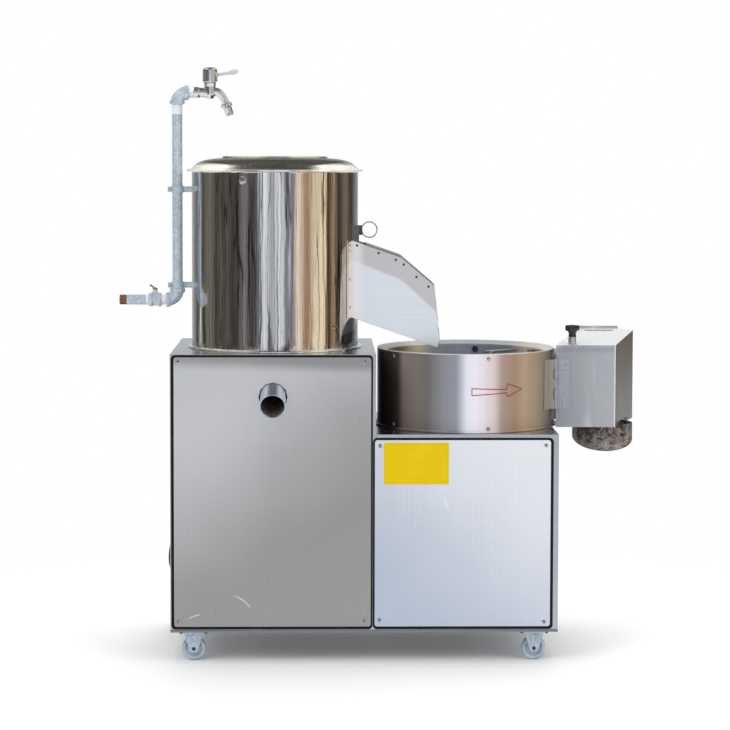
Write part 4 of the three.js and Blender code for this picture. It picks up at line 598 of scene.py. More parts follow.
def look_plate(nodes):
    place = nodes.position()
    x, y, z = nodes.axes(place)
    low, high = rows(((434, 368.5), (566.3, 453.9)))
    edge = (x - low.x).math("MINIMUM", high.x - x).math("MINIMUM", (z - low.z).math("MINIMUM", high.z - z))
    line = edge.smooth(0.0032, 0.0036) * edge.smooth(0.0048, 0.0044)
    wear = nodes.noise(place, 35.0, 5.0)
    worn = nodes.mix(wear.smooth(0.45, 0.9) * 0.3, chosen("plate"), colour(240, 212, 40))
    return {
        "Base Color": nodes.mix(line * 0.55, worn, colour(196, 160, 12)),
        "Roughness": 0.55 + (wear - 0.5) * 0.2,
        "Normal": nodes.bump(wear - line * 0.5, 0.12, 0.0008),
    }


def look_arrow(nodes):
    return stained(nodes, 380.0, 3.0, (0.5, 0.75), chosen("arrow"), colour(176, 70, 80), (0.5, 0.2), None)


CHROME = (60.0, 3.0, (0.3,), colour(226, 230, 234), colour(168, 174, 180), (0.05, 0.09), (0.12, 0.0008))
# Each finish: how it looks, with what settings, and what is the same all over it
LOOKS = {
    "cabinet steel": (look_cabinet, (), {"Metallic": 1.0}),
    "left panel steel": (look_left_panel, (), {"Metallic": 0.85}),
    "right panel steel": (look_right_panel, (), {"Metallic": 0.85}),
    "base steel": (grained, (colour(134, 139, 148), "X", 1.0, 0.14, 0.32, 0.05), {"Metallic": 1.0}),
    "satin steel": (grained, (colour(216, 220, 228), "Z", 1.2, 0.10, 0.30, 0.05), {"Metallic": 1.0}),
    "hinge steel": (look_hinge, (), {"Metallic": 0.15}),
    # Cover steel is painted a darker grey than the other steel, standing in for the dark room its top reflects:
    # painted reflection.
    "cover steel": (grained, (colour(118, 120, 121), "X", 1.0, 0.14, 0.36, 0.05), {"Metallic": 0.4}),
    "drain steel": (look_drain, (), {"Metallic": 0.5}),
    "drain inside": (
        stained, (90.0, 5.0, (0.35, 0.7), colour(96, 88, 88), colour(132, 122, 120), (0.45, 0.2), (0.3, 0.0006)),
        {"Metallic": 0.4},
    ),
    "gate steel": (grained, (colour(98, 96, 92), "Z", 1.0, 0.16, 0.42, 0.06), {"Metallic": 0.4}),
    "chute steel": (look_chute, (), {"Metallic": 0.8}),
    "hood steel": (look_hood, (), {"Specular IOR Level": 0.3}),
    "peeling drum polish": (look_peeler_drum, (), {"Metallic": 1.0}),
    "lid polish": (look_lid, (), {"Specular Tint": (0.5, 0.49, 0.46)}),
    "slicing drum steel": (look_slicer_drum, (), {"Metallic": 0.5}),
    "galvanised": (look_galvanised, (), {"Metallic": 0.4}),
    "cast paint": (look_cast, (), {}),
    "mottled steel": (look_mottled, (), {"Metallic": 0.85}),
    "chrome": (stained, CHROME, {"Metallic": 1.0}),
    "lever steel": (stained, CHROME, {"Metallic": 0.4}),
    "brass": (
        stained, (120.0, 4.0, (0.4, 0.7), colour(206, 168, 96), colour(136, 104, 62), (0.28, 0.25), (0.2, 0.0006)),
        {"Metallic": 1.0},
    ),
    "knife steel": (grained, (colour(222, 224, 226), "X", 1.5, 0.05, 0.16, 0.04), {"Metallic": 1.0}),
    "abrasive": (look_abrasive, (), {}),
    "black rubber": (moulded, (colour(10, 12, 16), colour(22, 25, 30), 0.6), {"Specular IOR Level": 0.2}),
    "black plastic": (moulded, (colour(20, 20, 22), colour(42, 42, 46), 0.32), {"Coat Weight": 0.2}),
    "grey plastic": (moulded, (colour(140, 144, 148), colour(156, 160, 164), 0.42), {}),
    "green plastic": (moulded, (colour(34, 128, 62), colour(48, 148, 78), 0.28), {"Coat Weight": 0.3}),
    "red plastic": (moulded, (colour(176, 28, 24), colour(196, 48, 40), 0.28), {"Coat Weight": 0.3}),
    "wheel rubber": (look_wheel, (), {"Coat Weight": 0.3}),
    "lead sheath": (moulded, (colour(20, 21, 24), colour(36, 38, 42), 0.48, 500.0), {}),
    "thread tape": (
        stained, (1.0, 3.0, (), colour(196, 206, 216), colour(240, 243, 246), (0.5, 0.2), (0.6, 0.0012),
                  (120, 120, 900)),
        {},
    ),
    "rusty thread": (
        stained, (300.0, 5.0, (0.35, 0.65), colour(98, 62, 44), colour(156, 116, 88), (0.6, 0.25), (0.6, 0.0008)),
        {"Metallic": 0.3},
    ),
    "yellow plate": (look_plate, (), {"Specular IOR Level": 0.15}),
    "arrow paint": (look_arrow, (), {}),
    "screw steel": (
        stained, (220.0, 4.0, (0.4, 0.75), colour(206, 210, 216), colour(104, 104, 108), (0.24, 0.2), (0.1, 0.0004)),
        {"Metallic": 1.0},
    ),
    "dark steel": (
        stained, (160.0, 4.0, (), colour(52, 54, 60), colour(92, 96, 104), (0.38, 0.2), (0.15, 0.0006)),
        {"Metallic": 0.9},
    ),
}


def new_material(name):
    made = bpy.data.materials.new(name)
    made.use_nodes = True
    return made, Nodes(made.node_tree)


def finish(name):
    """The material of that finish, made the first time it is asked for"""
    found = bpy.data.materials.get(f"{name} finish")
    if found:
        return found
    look, settings, constants = LOOKS[name]
    made, nodes = new_material(f"{name} finish")
    shader = nodes.add("BsdfPrincipled", {}, {**constants, **look(nodes, *settings)}, "BSDF")
    nodes.add("OutputMaterial", {}, {"Surface": shader})
    return made


# Shapes, in machine millimetres


def fillet(points, steps=5):
    """A closed outline of x and y, or x, y and the corner's radius, with those corners rounded"""
    rounded = []
    for i, point in enumerate(points):
        here, radius = Vector(point[:2]), point[2] if len(point) > 2 else 0
        if not radius:
            rounded.append(here)
            continue
        back, ahead = Vector(points[i - 1][:2]) - here, Vector(points[(i + 1) % len(points)][:2]) - here
        half = back.angle(ahead) / 2
        reach = min(radius / math.tan(half), back.length * 0.49, ahead.length * 0.49)
        start, end = here + back.normalized() * reach, here + ahead.normalized() * reach
        for k in range(steps + 1):
            t = k / steps
            rounded.append(start.lerp(here, t).lerp(here.lerp(end, t), t))
    return [tuple(point) for point in rounded]


def folded(line, thickness):
    """A sheet's closed profile: the line, and the same line moved to its left by the thickness"""
    moved = []
    for i, point in enumerate(line):
        along = Vector(line[min(i + 1, len(line) - 1)]) - Vector(line[max(i - 1, 0)])
        along.normalize()
        moved.append((point[0] - along.y * thickness, point[1] + along.x * thickness))
    return [*line, *reversed(moved)]


def arc(radius, start, end, steps):
    """Points on a circle from one angle to another, in radians"""
    angles = [start + (end - start) * k / steps for k in range(steps + 1)]
    return [(radius * math.cos(angle), radius * math.sin(angle)) for angle in angles]


def circle(radius, steps, x=0, y=0):
    return [(x + across, y + along) for across, along in arc(radius, 0, TURN, steps)[:-1]]


def rectangle(x0, x1, y0, y1, radius=0):
    return [(x, y, radius) for x, y in ((x0, y0), (x1, y0), (x1, y1), (x0, y1))]


def sector(outer, inner, start, end, steps):
    """Plan of a sheet rolled between two radii, from one angle to another"""
    return [*arc(outer, start, end, steps), *reversed(arc(inner, start, end, steps))]


def spline(points, steps):
    """Centripetal Catmull-Rom through points, with steps pieces between each two"""
    points = [Vector(point) for point in points]
    points = [2 * points[0] - points[1], *points, 2 * points[-1] - points[-2]]
    line = []
    for a, b, c, d in zip(points, points[1:], points[2:], points[3:]):
        t0 = 0
        t1, t2, t3 = (math.sqrt((q - p).length) for p, q in ((a, b), (b, c), (c, d)))
        t2 += t1
        t3 += t2
        for k in range(steps):
            t = t1 + (t2 - t1) * k / steps
            ab = (a * (t1 - t) + b * (t - t0)) / (t1 - t0)
            bc = (b * (t2 - t) + c * (t - t1)) / (t2 - t1)
            cd = (c * (t3 - t) + d * (t - t2)) / (t3 - t2)
            abc = (ab * (t2 - t) + bc * (t - t0)) / (t2 - t0)
            bcd = (bc * (t3 - t) + cd * (t - t1)) / (t3 - t1)
            line.append((abc * (t2 - t) + bcd * (t - t1)) / (t2 - t1))
    return [*line, points[-2]]


def new_object(name, data):
    made = bpy.data.objects.new(name, data)
    bpy.context.scene.collection.objects.link(made)
    return made


class Shape:
    """Closed bodies, gathered as points and faces and made into one piece"""

    def __init__(self):
        self.points = []
        self.faces = []
        self.finishes = []

    def loft(self, rings, place=Matrix(), mark=0, loop=False):
        """Skins rings of equal count; closes the ends, or joins them when it loops"""
        start, count = len(self.points), len(rings[0])
        faces = []
        for i in range(len(rings) - (0 if loop else 1)):
            a, b = i * count, (i + 1) % len(rings) * count
            faces += [(a + k, a + (k + 1) % count, b + (k + 1) % count, b + k) for k in range(count)]
        if not loop:
            last = (len(rings) - 1) * count
            faces += [tuple(reversed(range(count))), tuple(range(last, last + count))]
        self.points += [place @ Vector(point) for ring in rings for point in ring]
        self.faces += [[start + i for i in face] for face in faces]
        self.finishes += [mark] * len(faces)
        return self

    def lathe(self, profile, steps=48, place=Matrix(), mark=0, fine=5):
        """A closed profile of radius, height and corner turned round the upright axis"""
        profile = fillet(profile, fine)
        rings = [[(r * c, r * s, z) for r, z in profile] for c, s in circle(1, steps)]
        return self.loft(rings, place, mark, loop=True)

    def prism(self, outline, low, high, place=Matrix(), mark=0, soft=0):
        """An outline in X and Y run from low to high, its rims drawn in by soft"""
        outline = [Vector(point) for point in fillet(outline)]
        middle = sum(outline, Vector((0, 0))) / len(outline)
        levels = [(low, soft), (low + soft, 0), (high - soft, 0), (high, soft)] if soft else [(low, 0), (high, 0)]
        rings = []
        for height, inward in levels:
            ring = []
            for point in outline:
                out = point - middle
                out = out * (1 - inward / out.length)
                ring.append((middle.x + out.x, middle.y + out.y, height))
            rings.append(ring)
        return self.loft(rings, place, mark)

    def box(self, low, high, place=Matrix(), mark=0):
        (x0, y0, z0), (x1, y1, z1) = low, high
        return self.prism(rectangle(x0, x1, y0, y1), z0, z1, place, mark)

    def tube(self, path, radii, steps=16, place=Matrix(), mark=0, loop=False):
        """A round bar along a path, with a radius for each point"""
        path = [Vector(point) for point in path]
        rings = []
        side = None
        for i, (point, size) in enumerate(zip(path, radii)):
            before = path[i - 1] if loop or i else point
            after = path[(i + 1) % len(path)] if loop or i + 1 < len(path) else point
            along = (after - before).normalized()
            if side is None:
                side = along.orthogonal().normalized()
            side = (side - along * side.dot(along)).normalized()
            up = along.cross(side)
            rings.append([point + side * c + up * s for c, s in circle(size, steps)])
        return self.loft(rings, place, mark, loop)

    def dome(self, radius, height, place, mark=0, steps=20, foot=0.0):
        """A low rounded head, such as a rivet's, on the plane at height zero"""
        profile = [(0, -1.0), (radius, -1.0), (radius, foot)]
        for i in range(1, 6):
            turn = math.radians(15 * i)
            profile.append((radius * math.cos(turn), foot + (height - foot) * math.sin(turn)))
        return self.lathe([*profile, (0, height)], steps, place, mark)

    def piece(self, name, body, finishes, replaces=(), slot=None, bevel=0.0, smooth=32):
        """Makes the object, in the frame's metres, riding on its body"""
        mesh = bpy.data.meshes.new(name)
        mesh.from_pydata([point * MILLIMETRE + ORIGIN for point in self.points], [], self.faces)
        mesh.polygons.foreach_set("material_index", self.finishes)
        work = bmesh.new()
        work.from_mesh(mesh)
        bmesh.ops.remove_doubles(work, verts=work.verts, dist=1e-7)
        bmesh.ops.dissolve_degenerate(work, edges=work.edges, dist=1e-8)
        bmesh.ops.recalc_face_normals(work, faces=work.faces)
        work.to_mesh(mesh)
        work.free()
        obj = new_object(name, mesh)
        for each in finishes:
            mesh.materials.append(finish(each))
        shade(mesh, smooth)
        if bevel:
            round_edges(obj, bevel)
        if body:
            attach(obj, body)
        if replaces:
            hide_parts(*replaces)
        return obj

    def tool(self):
        """Makes a body to carve with"""
        return self.piece("tool", None, ["abrasive"])


def shade(mesh, angle):
    mesh.polygons.foreach_set("use_smooth", [True] * len(mesh.polygons))
    mesh.set_sharp_from_angle(angle=math.radians(angle))


def round_edges(obj, width):
    """Rounds the sharp edges of a sheet or casting by a width in metres"""
    modifier = obj.modifiers.new("rounded edges", "BEVEL")
    modifier.width = width
    modifier.segments = 2
    modifier.limit_method = "ANGLE"
    modifier.angle_limit = math.radians(35)
    modifier.harden_normals = True


def carve(obj, *tools):
    """Cuts the tools out of obj for good"""
    for tool in tools:
        modifier = obj.modifiers.new("cut", "BOOLEAN")
        modifier.operation = "DIFFERENCE"
        modifier.solver = "EXACT"
        modifier.object = tool
    bpy.context.view_layer.update()
    mesh = bpy.data.meshes.new_from_object(obj.evaluated_get(bpy.context.evaluated_depsgraph_get()))
    obj.modifiers.clear()
    obj.data = mesh
    shade(mesh, 32)
    for tool in tools:
        bpy.data.objects.remove(tool)


def dress(material, bevel, *nodes):
    """Gives CAD nodes that keep their shape a finish and rounded edges"""
    for name in nodes:
        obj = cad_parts[name]
        obj.data.materials.clear()
        obj.data.materials.append(finish(material))
        round_edges(obj, bevel)


def on_round(axis, radius, angle, height):
    """The place on an upright round wall, Z pointing out of it; the angle is from the front, towards the right"""
    turn = math.radians(angle - 90)
    out = Vector((math.cos(turn), math.sin(turn), 0))
    return axis @ Matrix.Translation(out * radius + Vector((0, 0, height))) @ Matrix.Rotation(turn, 4, "Z") @ TO_X


def front_spot(x, y, z, spin=0.0):
    """A place on a face that looks to the front, Z pointing out of it"""
    return at(x, y, z) @ TO_Y @ Matrix.Rotation(spin, 4, "Z")


def pan_screw(shape, place, radius, mark=0, slot_mark=1, arms=2):
    """A pan head with a cross recess, or one slot"""
    height = radius * 0.55
    shape.dome(radius, height, place, mark, 24, height * 0.35)
    arm, width = radius * (0.55 if arms == 2 else 0.9), radius * 0.14
    for spin in (0, 90)[:arms]:
        shape.box((-arm, -width, height * 0.7), (arm, width, height * 1.04), place @ spun(spin), slot_mark)


# The operators, one for each piece or group of like pieces, each after what only it uses


class PEELER_OT_camera(bpy.types.Operator):
    """Place the camera in front of the machine, a little left of its middle"""

    bl_idname = "peeler.camera"
    bl_label = "Camera"

    def execute(self, context):
        data = bpy.data.cameras.new("camera")
        data.lens = context.scene.stage_settings.lens
        data.sensor_width = 36
        data.clip_end = 60
        data.shift_y = CAMERA_RISE
        camera = new_object("camera", data)
        camera.location = CAMERA_PLACE
        camera.rotation_euler = [math.radians(angle) for angle in CAMERA_TURN]
        context.scene.camera = camera
        return {"FINISHED"}


LEAD_ROUTE = [
    (-9.3, 366, 279.4), (-9.3, 366, 262), (-10.5, 366, 240), (-13.5, 366, 214), (-19, 365, 188),
    (-22.6, 364, 166), (-23, 363, 146), (-18, 362, 124), (-13.5, 362, 104), (-10, 363, 84), (-9.5, 365, 66),
    (-12.5, 368, 47), (-18, 374, 31), (-19.5, 384, 19), (-17.5, 398, 10), (-14, 414, 5.6), (-7, 430, 4.8),
    (8, 441, 4.8), (34, 447, 4.8), (66, 449, 4.8), (98, 452, 4.8), (126, 456.2, 4.8), (140.82, 458.53, 4.8),
]
LEAD_RADIUS, LEAD_FLOOR = 4.5, 4.8
COIL_CENTRE, COIL_OUTER, COIL_PITCH, COIL_TURNS, COIL_STEPS = (150, 515), 55, 9.7, 2, 24
COIL_TUCK, COIL_FLARE = 2, 12


def coil_line():
    """The coil's centreline: in on the floor, up a layer, out, and down to the floor for the plug"""
    points = []
    climb = COIL_STEPS // 2
    turns = COIL_TURNS * COIL_STEPS
    innermost = COIL_OUTER - COIL_TURNS * COIL_PITCH

    def eased(share):
        return share * share * (3 - 2 * share)

    def add(step, radius, height):
        angle = step * TURN / COIL_STEPS - math.pi / 2
        x, y = COIL_CENTRE
        points.append(Vector((x + radius * math.cos(angle), y + radius * math.sin(angle), LEAD_FLOOR + height)))

    for i in range(turns):
        add(i, COIL_OUTER - i * COIL_PITCH / COIL_STEPS, 0)
    for i in range(climb):
        share = i / climb
        add(turns + i, innermost - COIL_TUCK * math.sin(share * math.pi), COIL_PITCH * eased(share))
    descent_from = turns + COIL_STEPS * 3 // 4
    descent = COIL_STEPS // 3
    for i in range(descent_from + descent + 1):
        drop = eased(max(0, (i - descent_from) / descent))
        add(turns + climb + i, innermost + i * COIL_PITCH / COIL_STEPS + COIL_FLARE * drop, COIL_PITCH * (1 - drop))
    first, last = points[0] - points[1], points[-1] - points[-2]
    first.z = last.z = 0
    straight = 2 * LEAD_RADIUS
    return [points[0] + first.normalized() * straight, *points, points[-1] + last.normalized() * straight]


def plug(end, heading):
    """The moulded plug on the lead's end, with its ribs and three pins"""
    heading.z = 0
    heading.normalize()
    side = Vector((0, 0, 1)).cross(heading)
    place = Matrix((
        (side.x, 0, heading.x, end.x + heading.x * 0.3),
        (side.y, 0, heading.y, end.y + heading.y * 0.3),
        (0, 1, 0, end.z),
        (0, 0, 0, 1),
    ))
    rings = []
    for along, half, low, rise in (
        (0, 4.6, 4.4, 0), (1.2, 6.4, 4.5, 0), (12, 7.2, 4.5, 0), (14, 8.6, 4.5, 1.4), (22, 13.4, 4.5, 7),
        (25, 14, 4.5, 8.2), (42.5, 14, 4.5, 8.2), (44, 12.6, 4.1, 7.2),
    ):
        rings.append([
            (half * abs(c) ** 0.8 * (1 if c > 0 else -1), (low + rise if s > 0 else low) * s, along)
            for c, s in circle(1, 32)
        ])
    shape = Shape().loft(rings, place)
    flat = place @ Matrix.Scale(0.62, 4, (0, 1, 0))
    for i in range(5):
        low, wide = 2.4 + i * 2.4, 7.3 - i * 0.08
        shape.lathe([(4.2, low), (wide, low + 0.2), (wide, low + 1.1), (4.2, low + 1.3)], 24, flat)
    for x, y in ((0, 7), (-6.5, -1), (6.5, -1)):
        shape.prism(rectangle(x - 2, x + 2, y - 1, y + 1, 0.8), 43.6, 61.5, place, 1, 0.5)
    return shape.piece("mains_plug", "machine", ["black plastic", "brass"], ["plug"], "black_rubber")


def gland(top=311.7, height=32):
    """The ribbed, tapered sleeve where the lead leaves the switch box"""
    profile = [(4.8, top), (7.5, top), (7.5, top - 7.2), (7.0, top - 8.4)]
    for i in range(6):
        high, wide = top - 9.5 - i * 3.6, 6.7 - i * 0.24
        profile += [(wide, high), (wide, high - 2.2), (wide - 0.6, high - 2.6), (wide - 0.6, high - 3.4)]
    profile += [(5.5, top - height), (4.8, top - height)]
    shape = Shape().lathe(profile, 32, at(*LEAD_ROUTE[0][:2], 0))
    shape.piece("lead_gland", "machine", ["black rubber"], ["cable_gland"], "black_rubber")


class PEELER_OT_power_lead(bpy.types.Operator):
    """Run the power lead from its gland down the left wall to its coil, with the plug on its end"""

    bl_idname = "peeler.power_lead"
    bl_label = "Power lead and plug"

    def execute(self, context):
        coil = coil_line()
        route = spline(LEAD_ROUTE[:-1] + coil, 4)
        data = bpy.data.curves.new("power_lead_run", "CURVE")
        data.dimensions = "3D"
        line = data.splines.new("POLY")
        line.points.add(len(route) - 1)
        for point, spot in zip(line.points, route):
            point.co = (*row(*spot), 1)
        data.bevel_depth = LEAD_RADIUS * MILLIMETRE
        data.bevel_resolution = 4
        data.use_fill_caps = True
        data.materials.append(finish("lead sheath"))
        lead = new_object("power_lead_run", data)
        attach(lead, "machine")
        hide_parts("power_lead", "lead_coil")
        plug(coil[-1], coil[-1] - coil[-2])
        gland()
        return {"FINISHED"}


class PEELER_OT_cabinets(bpy.types.Operator):
    """Dress the two cabinets, their panels, rubber edges and frame, and set the panel screws"""

    bl_idname = "peeler.cabinets"
    bl_label = "Cabinets and panels"

    def execute(self, context):
        edge = context.scene.machine_sizes.edge_round
        dress("cabinet steel", edge, "left_cabinet", "right_cabinet")
        dress("base steel", edge, "base_frame")
        dress("satin steel", edge / 2, "left_rear_panel", "right_rear_panel")
        dress("left panel steel", edge / 2, "left_front_panel")
        dress("right panel steel", edge / 2, "right_front_panel")
        dress("black rubber", edge, "left_gasket", "right_gasket")
        radius = context.scene.machine_sizes.screw_radius / MILLIMETRE
        shape = Shape()
        for i, (x, z) in enumerate((
            (16.7, 87.1), (395.9, 89.1), (16.7, 618), (396, 618),
            (426.6, 447.4), (764.2, 448), (425.8, 89.5), (761.8, 85.4),
        )):
            pan_screw(shape, front_spot(x, 0, z, 0.4 + i), radius)
        for x0, x1, top in ((6, 412, DECK), (424.6, 784.6, SLICER_DECK)):
            for x in (x0 + 12, (x0 + x1) / 2, x1 - 12):
                for z in (88, top - 19):
                    back = at(x, CABINET_DEPTH, z) @ TO_Y.inverted()
                    pan_screw(shape, back @ Matrix.Rotation(x, 4, "Z"), radius)
        shape.piece("panel_screws", "machine", ["screw steel", "dark steel"], slot="satin_steel")
        plate = Shape().prism(rectangle(434, 566.3, 368.5, 453.9, 2.5), 0, 0.5, TO_Y)
        plate.piece("yellow_plate", "machine", ["yellow plate"])
        return {"FINISHED"}


def caster_fork(name, place):
    """A pressed bracket with a dimpled cheek on each side, its axle pin and four bolts"""
    shape = Shape().prism(rectangle(-31.5, 31.5, -26, 26, 4), 62.2, 64.7, place, 0, 0.5)
    cheek = [(-21.5, 63), (-9, 24, 8), (-6.5, 17.5, 7), (6.5, 17.5, 7), (9, 24, 8), (21.5, 63)]
    dimple = ((1.0, 0), (0.93, 1.1), (0.80, 1.5), (0.62, 1.3), (0.50, 0.7), (0.2, 0.5))
    for low, face in ((12, 1), (-14.5, -1)):
        shape.prism(cheek, low, low + 2.5, place @ TO_Y, 0, 0.4)
        rings = [[(7.5 * c * k, 46 + 9.5 * s * k, depth) for c, s in circle(1, 28)] for k, depth in dimple]
        shape.loft(rings, place @ TO_Y @ at(0, 0, 14.4 * face) @ Matrix.Scale(face, 4, (0, 0, 1)))
    pin = [(0, -15.9), (3.4, -15.9), (4, -15.3), (4, 15.3), (3.4, 15.9), (0, 15.9)]
    shape.lathe(pin, 20, place @ at(0, 0, WHEEL_AXLE) @ TO_Y, 1)
    for x in (-25.5, 25.5):
        for y in (-19, 19):
            spot = place @ at(x, y, 62.2) @ spun(180, "X")
            shape.prism(circle(4.2, 6), -0.5, 3.2, spot, 1, 0.4)
            shape.lathe([(0, 3), (2.2, 3), (2.2, 5), (0, 5)], 16, spot, 1)
    finishes = ["galvanised", "dark steel"]
    shape.piece(f"{name}_caster_fork", "machine", finishes, [f"{name}_caster_bracket"], "galvanised", 0.0003)


class PEELER_OT_casters(bpy.types.Operator):
    """Build the four casters: pressed bracket, bolts, axle and ringed wheel"""

    bl_idname = "peeler.casters"
    bl_label = "Casters"

    def execute(self, context):
        half = [
            (25, 3), (24.6, 6), (23.4, 8.6), (21.4, 9.8), (18, 9.6), (16.6, 8.6), (15.4, 5.6), (11.4, 6.2),
            (10.2, 9), (9, 10), (4.4, 10),
        ]
        tyre = [*((radius, -out) for radius, out in reversed(half)), *half]
        for name, x, y in (
            ("front_left", 46, 44), ("front_right", 744.6, 44), ("rear_left", 46, 376), ("rear_right", 744.6, 376),
        ):
            caster_fork(name, at(x, y, 0))
            wheel = Shape().lathe(tyre, 72, at(x, y, WHEEL_AXLE) @ TO_Y)
            wheel.piece(f"{name}_wheel_tread", f"{name}_wheel", ["wheel rubber"], [f"{name}_wheel"], "grey_rubber")
        return {"FINISHED"}


def window():
    """A body that carves the outlet for the peeled potatoes"""
    return Shape().box((87.5, -55, 70), (181, 55, 174), PEELER).tool()


def peeler_shell(steps):
    wall, rim, flange = DRUM_RADIUS - DRUM_WALL, DRUM_HEIGHT, 184
    sump, foot, sleeve = 150, -100, 31
    profile = [
        (sleeve, foot), (sump, foot, 4), (sump, 0.3), (flange, 0.3, 1.2), (flange, 3.3, 1.2), (DRUM_RADIUS, 3.3, 3),
        (DRUM_RADIUS, rim - 4, 1), (178, rim - 3, 0.9), (178, rim - 1, 0.9), (176, rim, 0.5), (wall, rim - 2, 1),
        (wall, 3.3, 3), (sump - 2, 2.3, 3), (sump - 2, foot + 2, 4), (sleeve + 2, foot + 2, 3),
        (sleeve + 2, -68, 0.6), (sleeve, -68, 0.6),
    ]
    drum = Shape().lathe(profile, steps, PEELER, fine=4)
    drum = drum.piece("polished_drum", "machine", ["peeling drum polish"], ["peeler_drum"], "mirror_steel")
    drain = Shape().lathe([(0, -DRUM_Y), (26.3, -DRUM_Y), (26.3, 0), (0, 0)], 48, DRAIN)
    carve(drum, window(), drain.tool())
    guides = Shape()
    for side in (-1, 1):
        for low, inner in ((160.5, 66.2), (174, 58.2)):
            near, far = sorted((side * inner, side * 68.2))
            guides.box((low, near, 69), (176, far, 258), PEELER)
    guides.piece("gate_guides", "machine", ["gate steel"], slot="mirror_steel", bevel=0.0003)


class PEELER_OT_peeling_drum(bpy.types.Operator):
    """Build the polished peeling drum with its flange, sump, gate guides and abrasive liner"""

    bl_idname = "peeler.peeling_drum"
    bl_label = "Peeling drum"

    def execute(self, context):
        steps = context.scene.machine_sizes.drum_steps
        peeler_shell(steps)
        liner = Shape().lathe([(168.7, 22), (172.7, 22), (172.7, 320), (168.7, 320)], steps, PEELER)
        carve(liner.piece("abrasive_liner", "machine", ["abrasive"], ["drum_liner"], "abrasive"), window())
        shape = Shape()
        pan_screw(shape, on_round(PEELER, DRUM_RADIUS, 45.5, 48.5) @ Matrix.Rotation(0.9, 4, "Z"), 6.2, arms=1)
        shape.dome(8.5, 1.8, on_round(PEELER, DRUM_RADIUS, -21, 352), 2, 32)
        for angle in (-150, -90, -30, 30, 150):
            shape.dome(3.6, 2.0, PEELER @ spun(angle) @ at(179.6, 0, 3.3), 2)
        shape.piece("drum_screws", "machine", ["brass", "dark steel", "screw steel"], slot="brass")
        return {"FINISHED"}


class PEELER_OT_lid(bpy.types.Operator):
    """Build the domed splash lid with its raised collar"""

    bl_idname = "peeler.lid"
    bl_label = "Splash lid"

    def execute(self, context):
        foot = DRUM_HEIGHT + 0.3
        slope = [
            (177.6, SHEET + 0.3), (173.4, 5.2), (166.5, 12), (158.5, 16.6), (149.8, 20), (132, 23.4), (112.6, 25),
        ]
        dome = spline([(radius, foot + up, 0) for radius, up in slope], 4)
        line = [
            (184.2, foot - 3), (185, foot - 2.2), (185, foot + 0.4), (184, foot + SHEET),
            *((point.x, point.y) for point in dome), (110.8, foot + 25.9), (109.8, foot + 28.5), (108.6, foot + 29),
        ]
        shape = Shape().lathe(folded(line, SHEET * 0.9), context.scene.machine_sizes.drum_steps, PEELER)
        shape.piece("domed_lid", "lid", ["lid polish"], ["splash_lid"], "mirror_steel", smooth=40)
        return {"FINISHED"}


class PEELER_OT_peeling_disc(bpy.types.Operator):
    """Build the abrasive disc with its waves and the wipers below it"""

    bl_idname = "peeler.peeling_disc"
    bl_label = "Peeling disc"

    def execute(self, context):
        shape = Shape().lathe([
            (0, 26.3), (15.3, 26.3), (15.3, 12), (165, 12, 1), (165, 20, 2.5), (38, 20, 6), (19, 46, 6), (0, 46),
        ], 120, PEELER)
        for i in range(4):
            rings = []
            for k in range(25):
                size = min(1.0, math.sin(math.pi * (k + 0.6) / 25.2) * 2.2)
                ring = arc(1, 0, math.pi, 16)
                rings.append([(19 + 142 * k / 24, 17 * c * size, 19.7 + 12 * s * size) for c, s in ring])
            shape.loft(rings, PEELER @ spun(90 * i))
        shape.piece("abrasive_disc", "peeling_rotor", ["abrasive"], ["peeling_disc"], "abrasive")
        wipers = Shape()
        for angle in (0, 180):
            wipers.box((35, -1.5, -10), (142, 1.5, 12.2), PEELER @ spun(angle))
        wipers.piece("sump_wipers", "peeling_rotor", ["satin steel"], slot="abrasive", bevel=0.0004)
        return {"FINISHED"}


class PEELER_OT_drives(bpy.types.Operator):
    """Dress the motors, pulleys, belts, spindles and bearing housings inside the cabinets"""

    bl_idname = "peeler.drives"
    bl_label = "Drives"

    def execute(self, context):
        for side in ("peeler", "slicer"):
            dress("cast paint", 0.0006, f"{side}_motor", f"{side}_bearing_housing")
            dress("black rubber", 0.0004, f"{side}_belt")
            dress("galvanised", 0.0004, f"{side}_motor_pulley", f"{side}_spindle")
        return {"FINISHED"}


class PEELER_OT_drain(bpy.types.Operator):
    """Build the sloping drain pipe with its rolled mouth"""

    bl_idname = "peeler.drain"
    bl_label = "Drain pipe"

    def execute(self, context):
        reach = 42 / math.cos(math.radians(20))
        shape = Shape().lathe([
            (24, -75.8), (26, -75.8), (26, reach - 0.8), (25.8, reach - 0.2), (25.4, reach), (24.9, reach - 0.3),
            (24, reach - 5),
        ], 72, DRAIN)
        shape.lathe([(23.7, -74), (24, -74), (24, reach - 5.2), (23.7, reach - 5.6)], 72, DRAIN, 1)
        shape.piece("drain_spout", "machine", ["drain steel", "drain inside"], ["drain_pipe"], "brushed_steel")
        return {"FINISHED"}


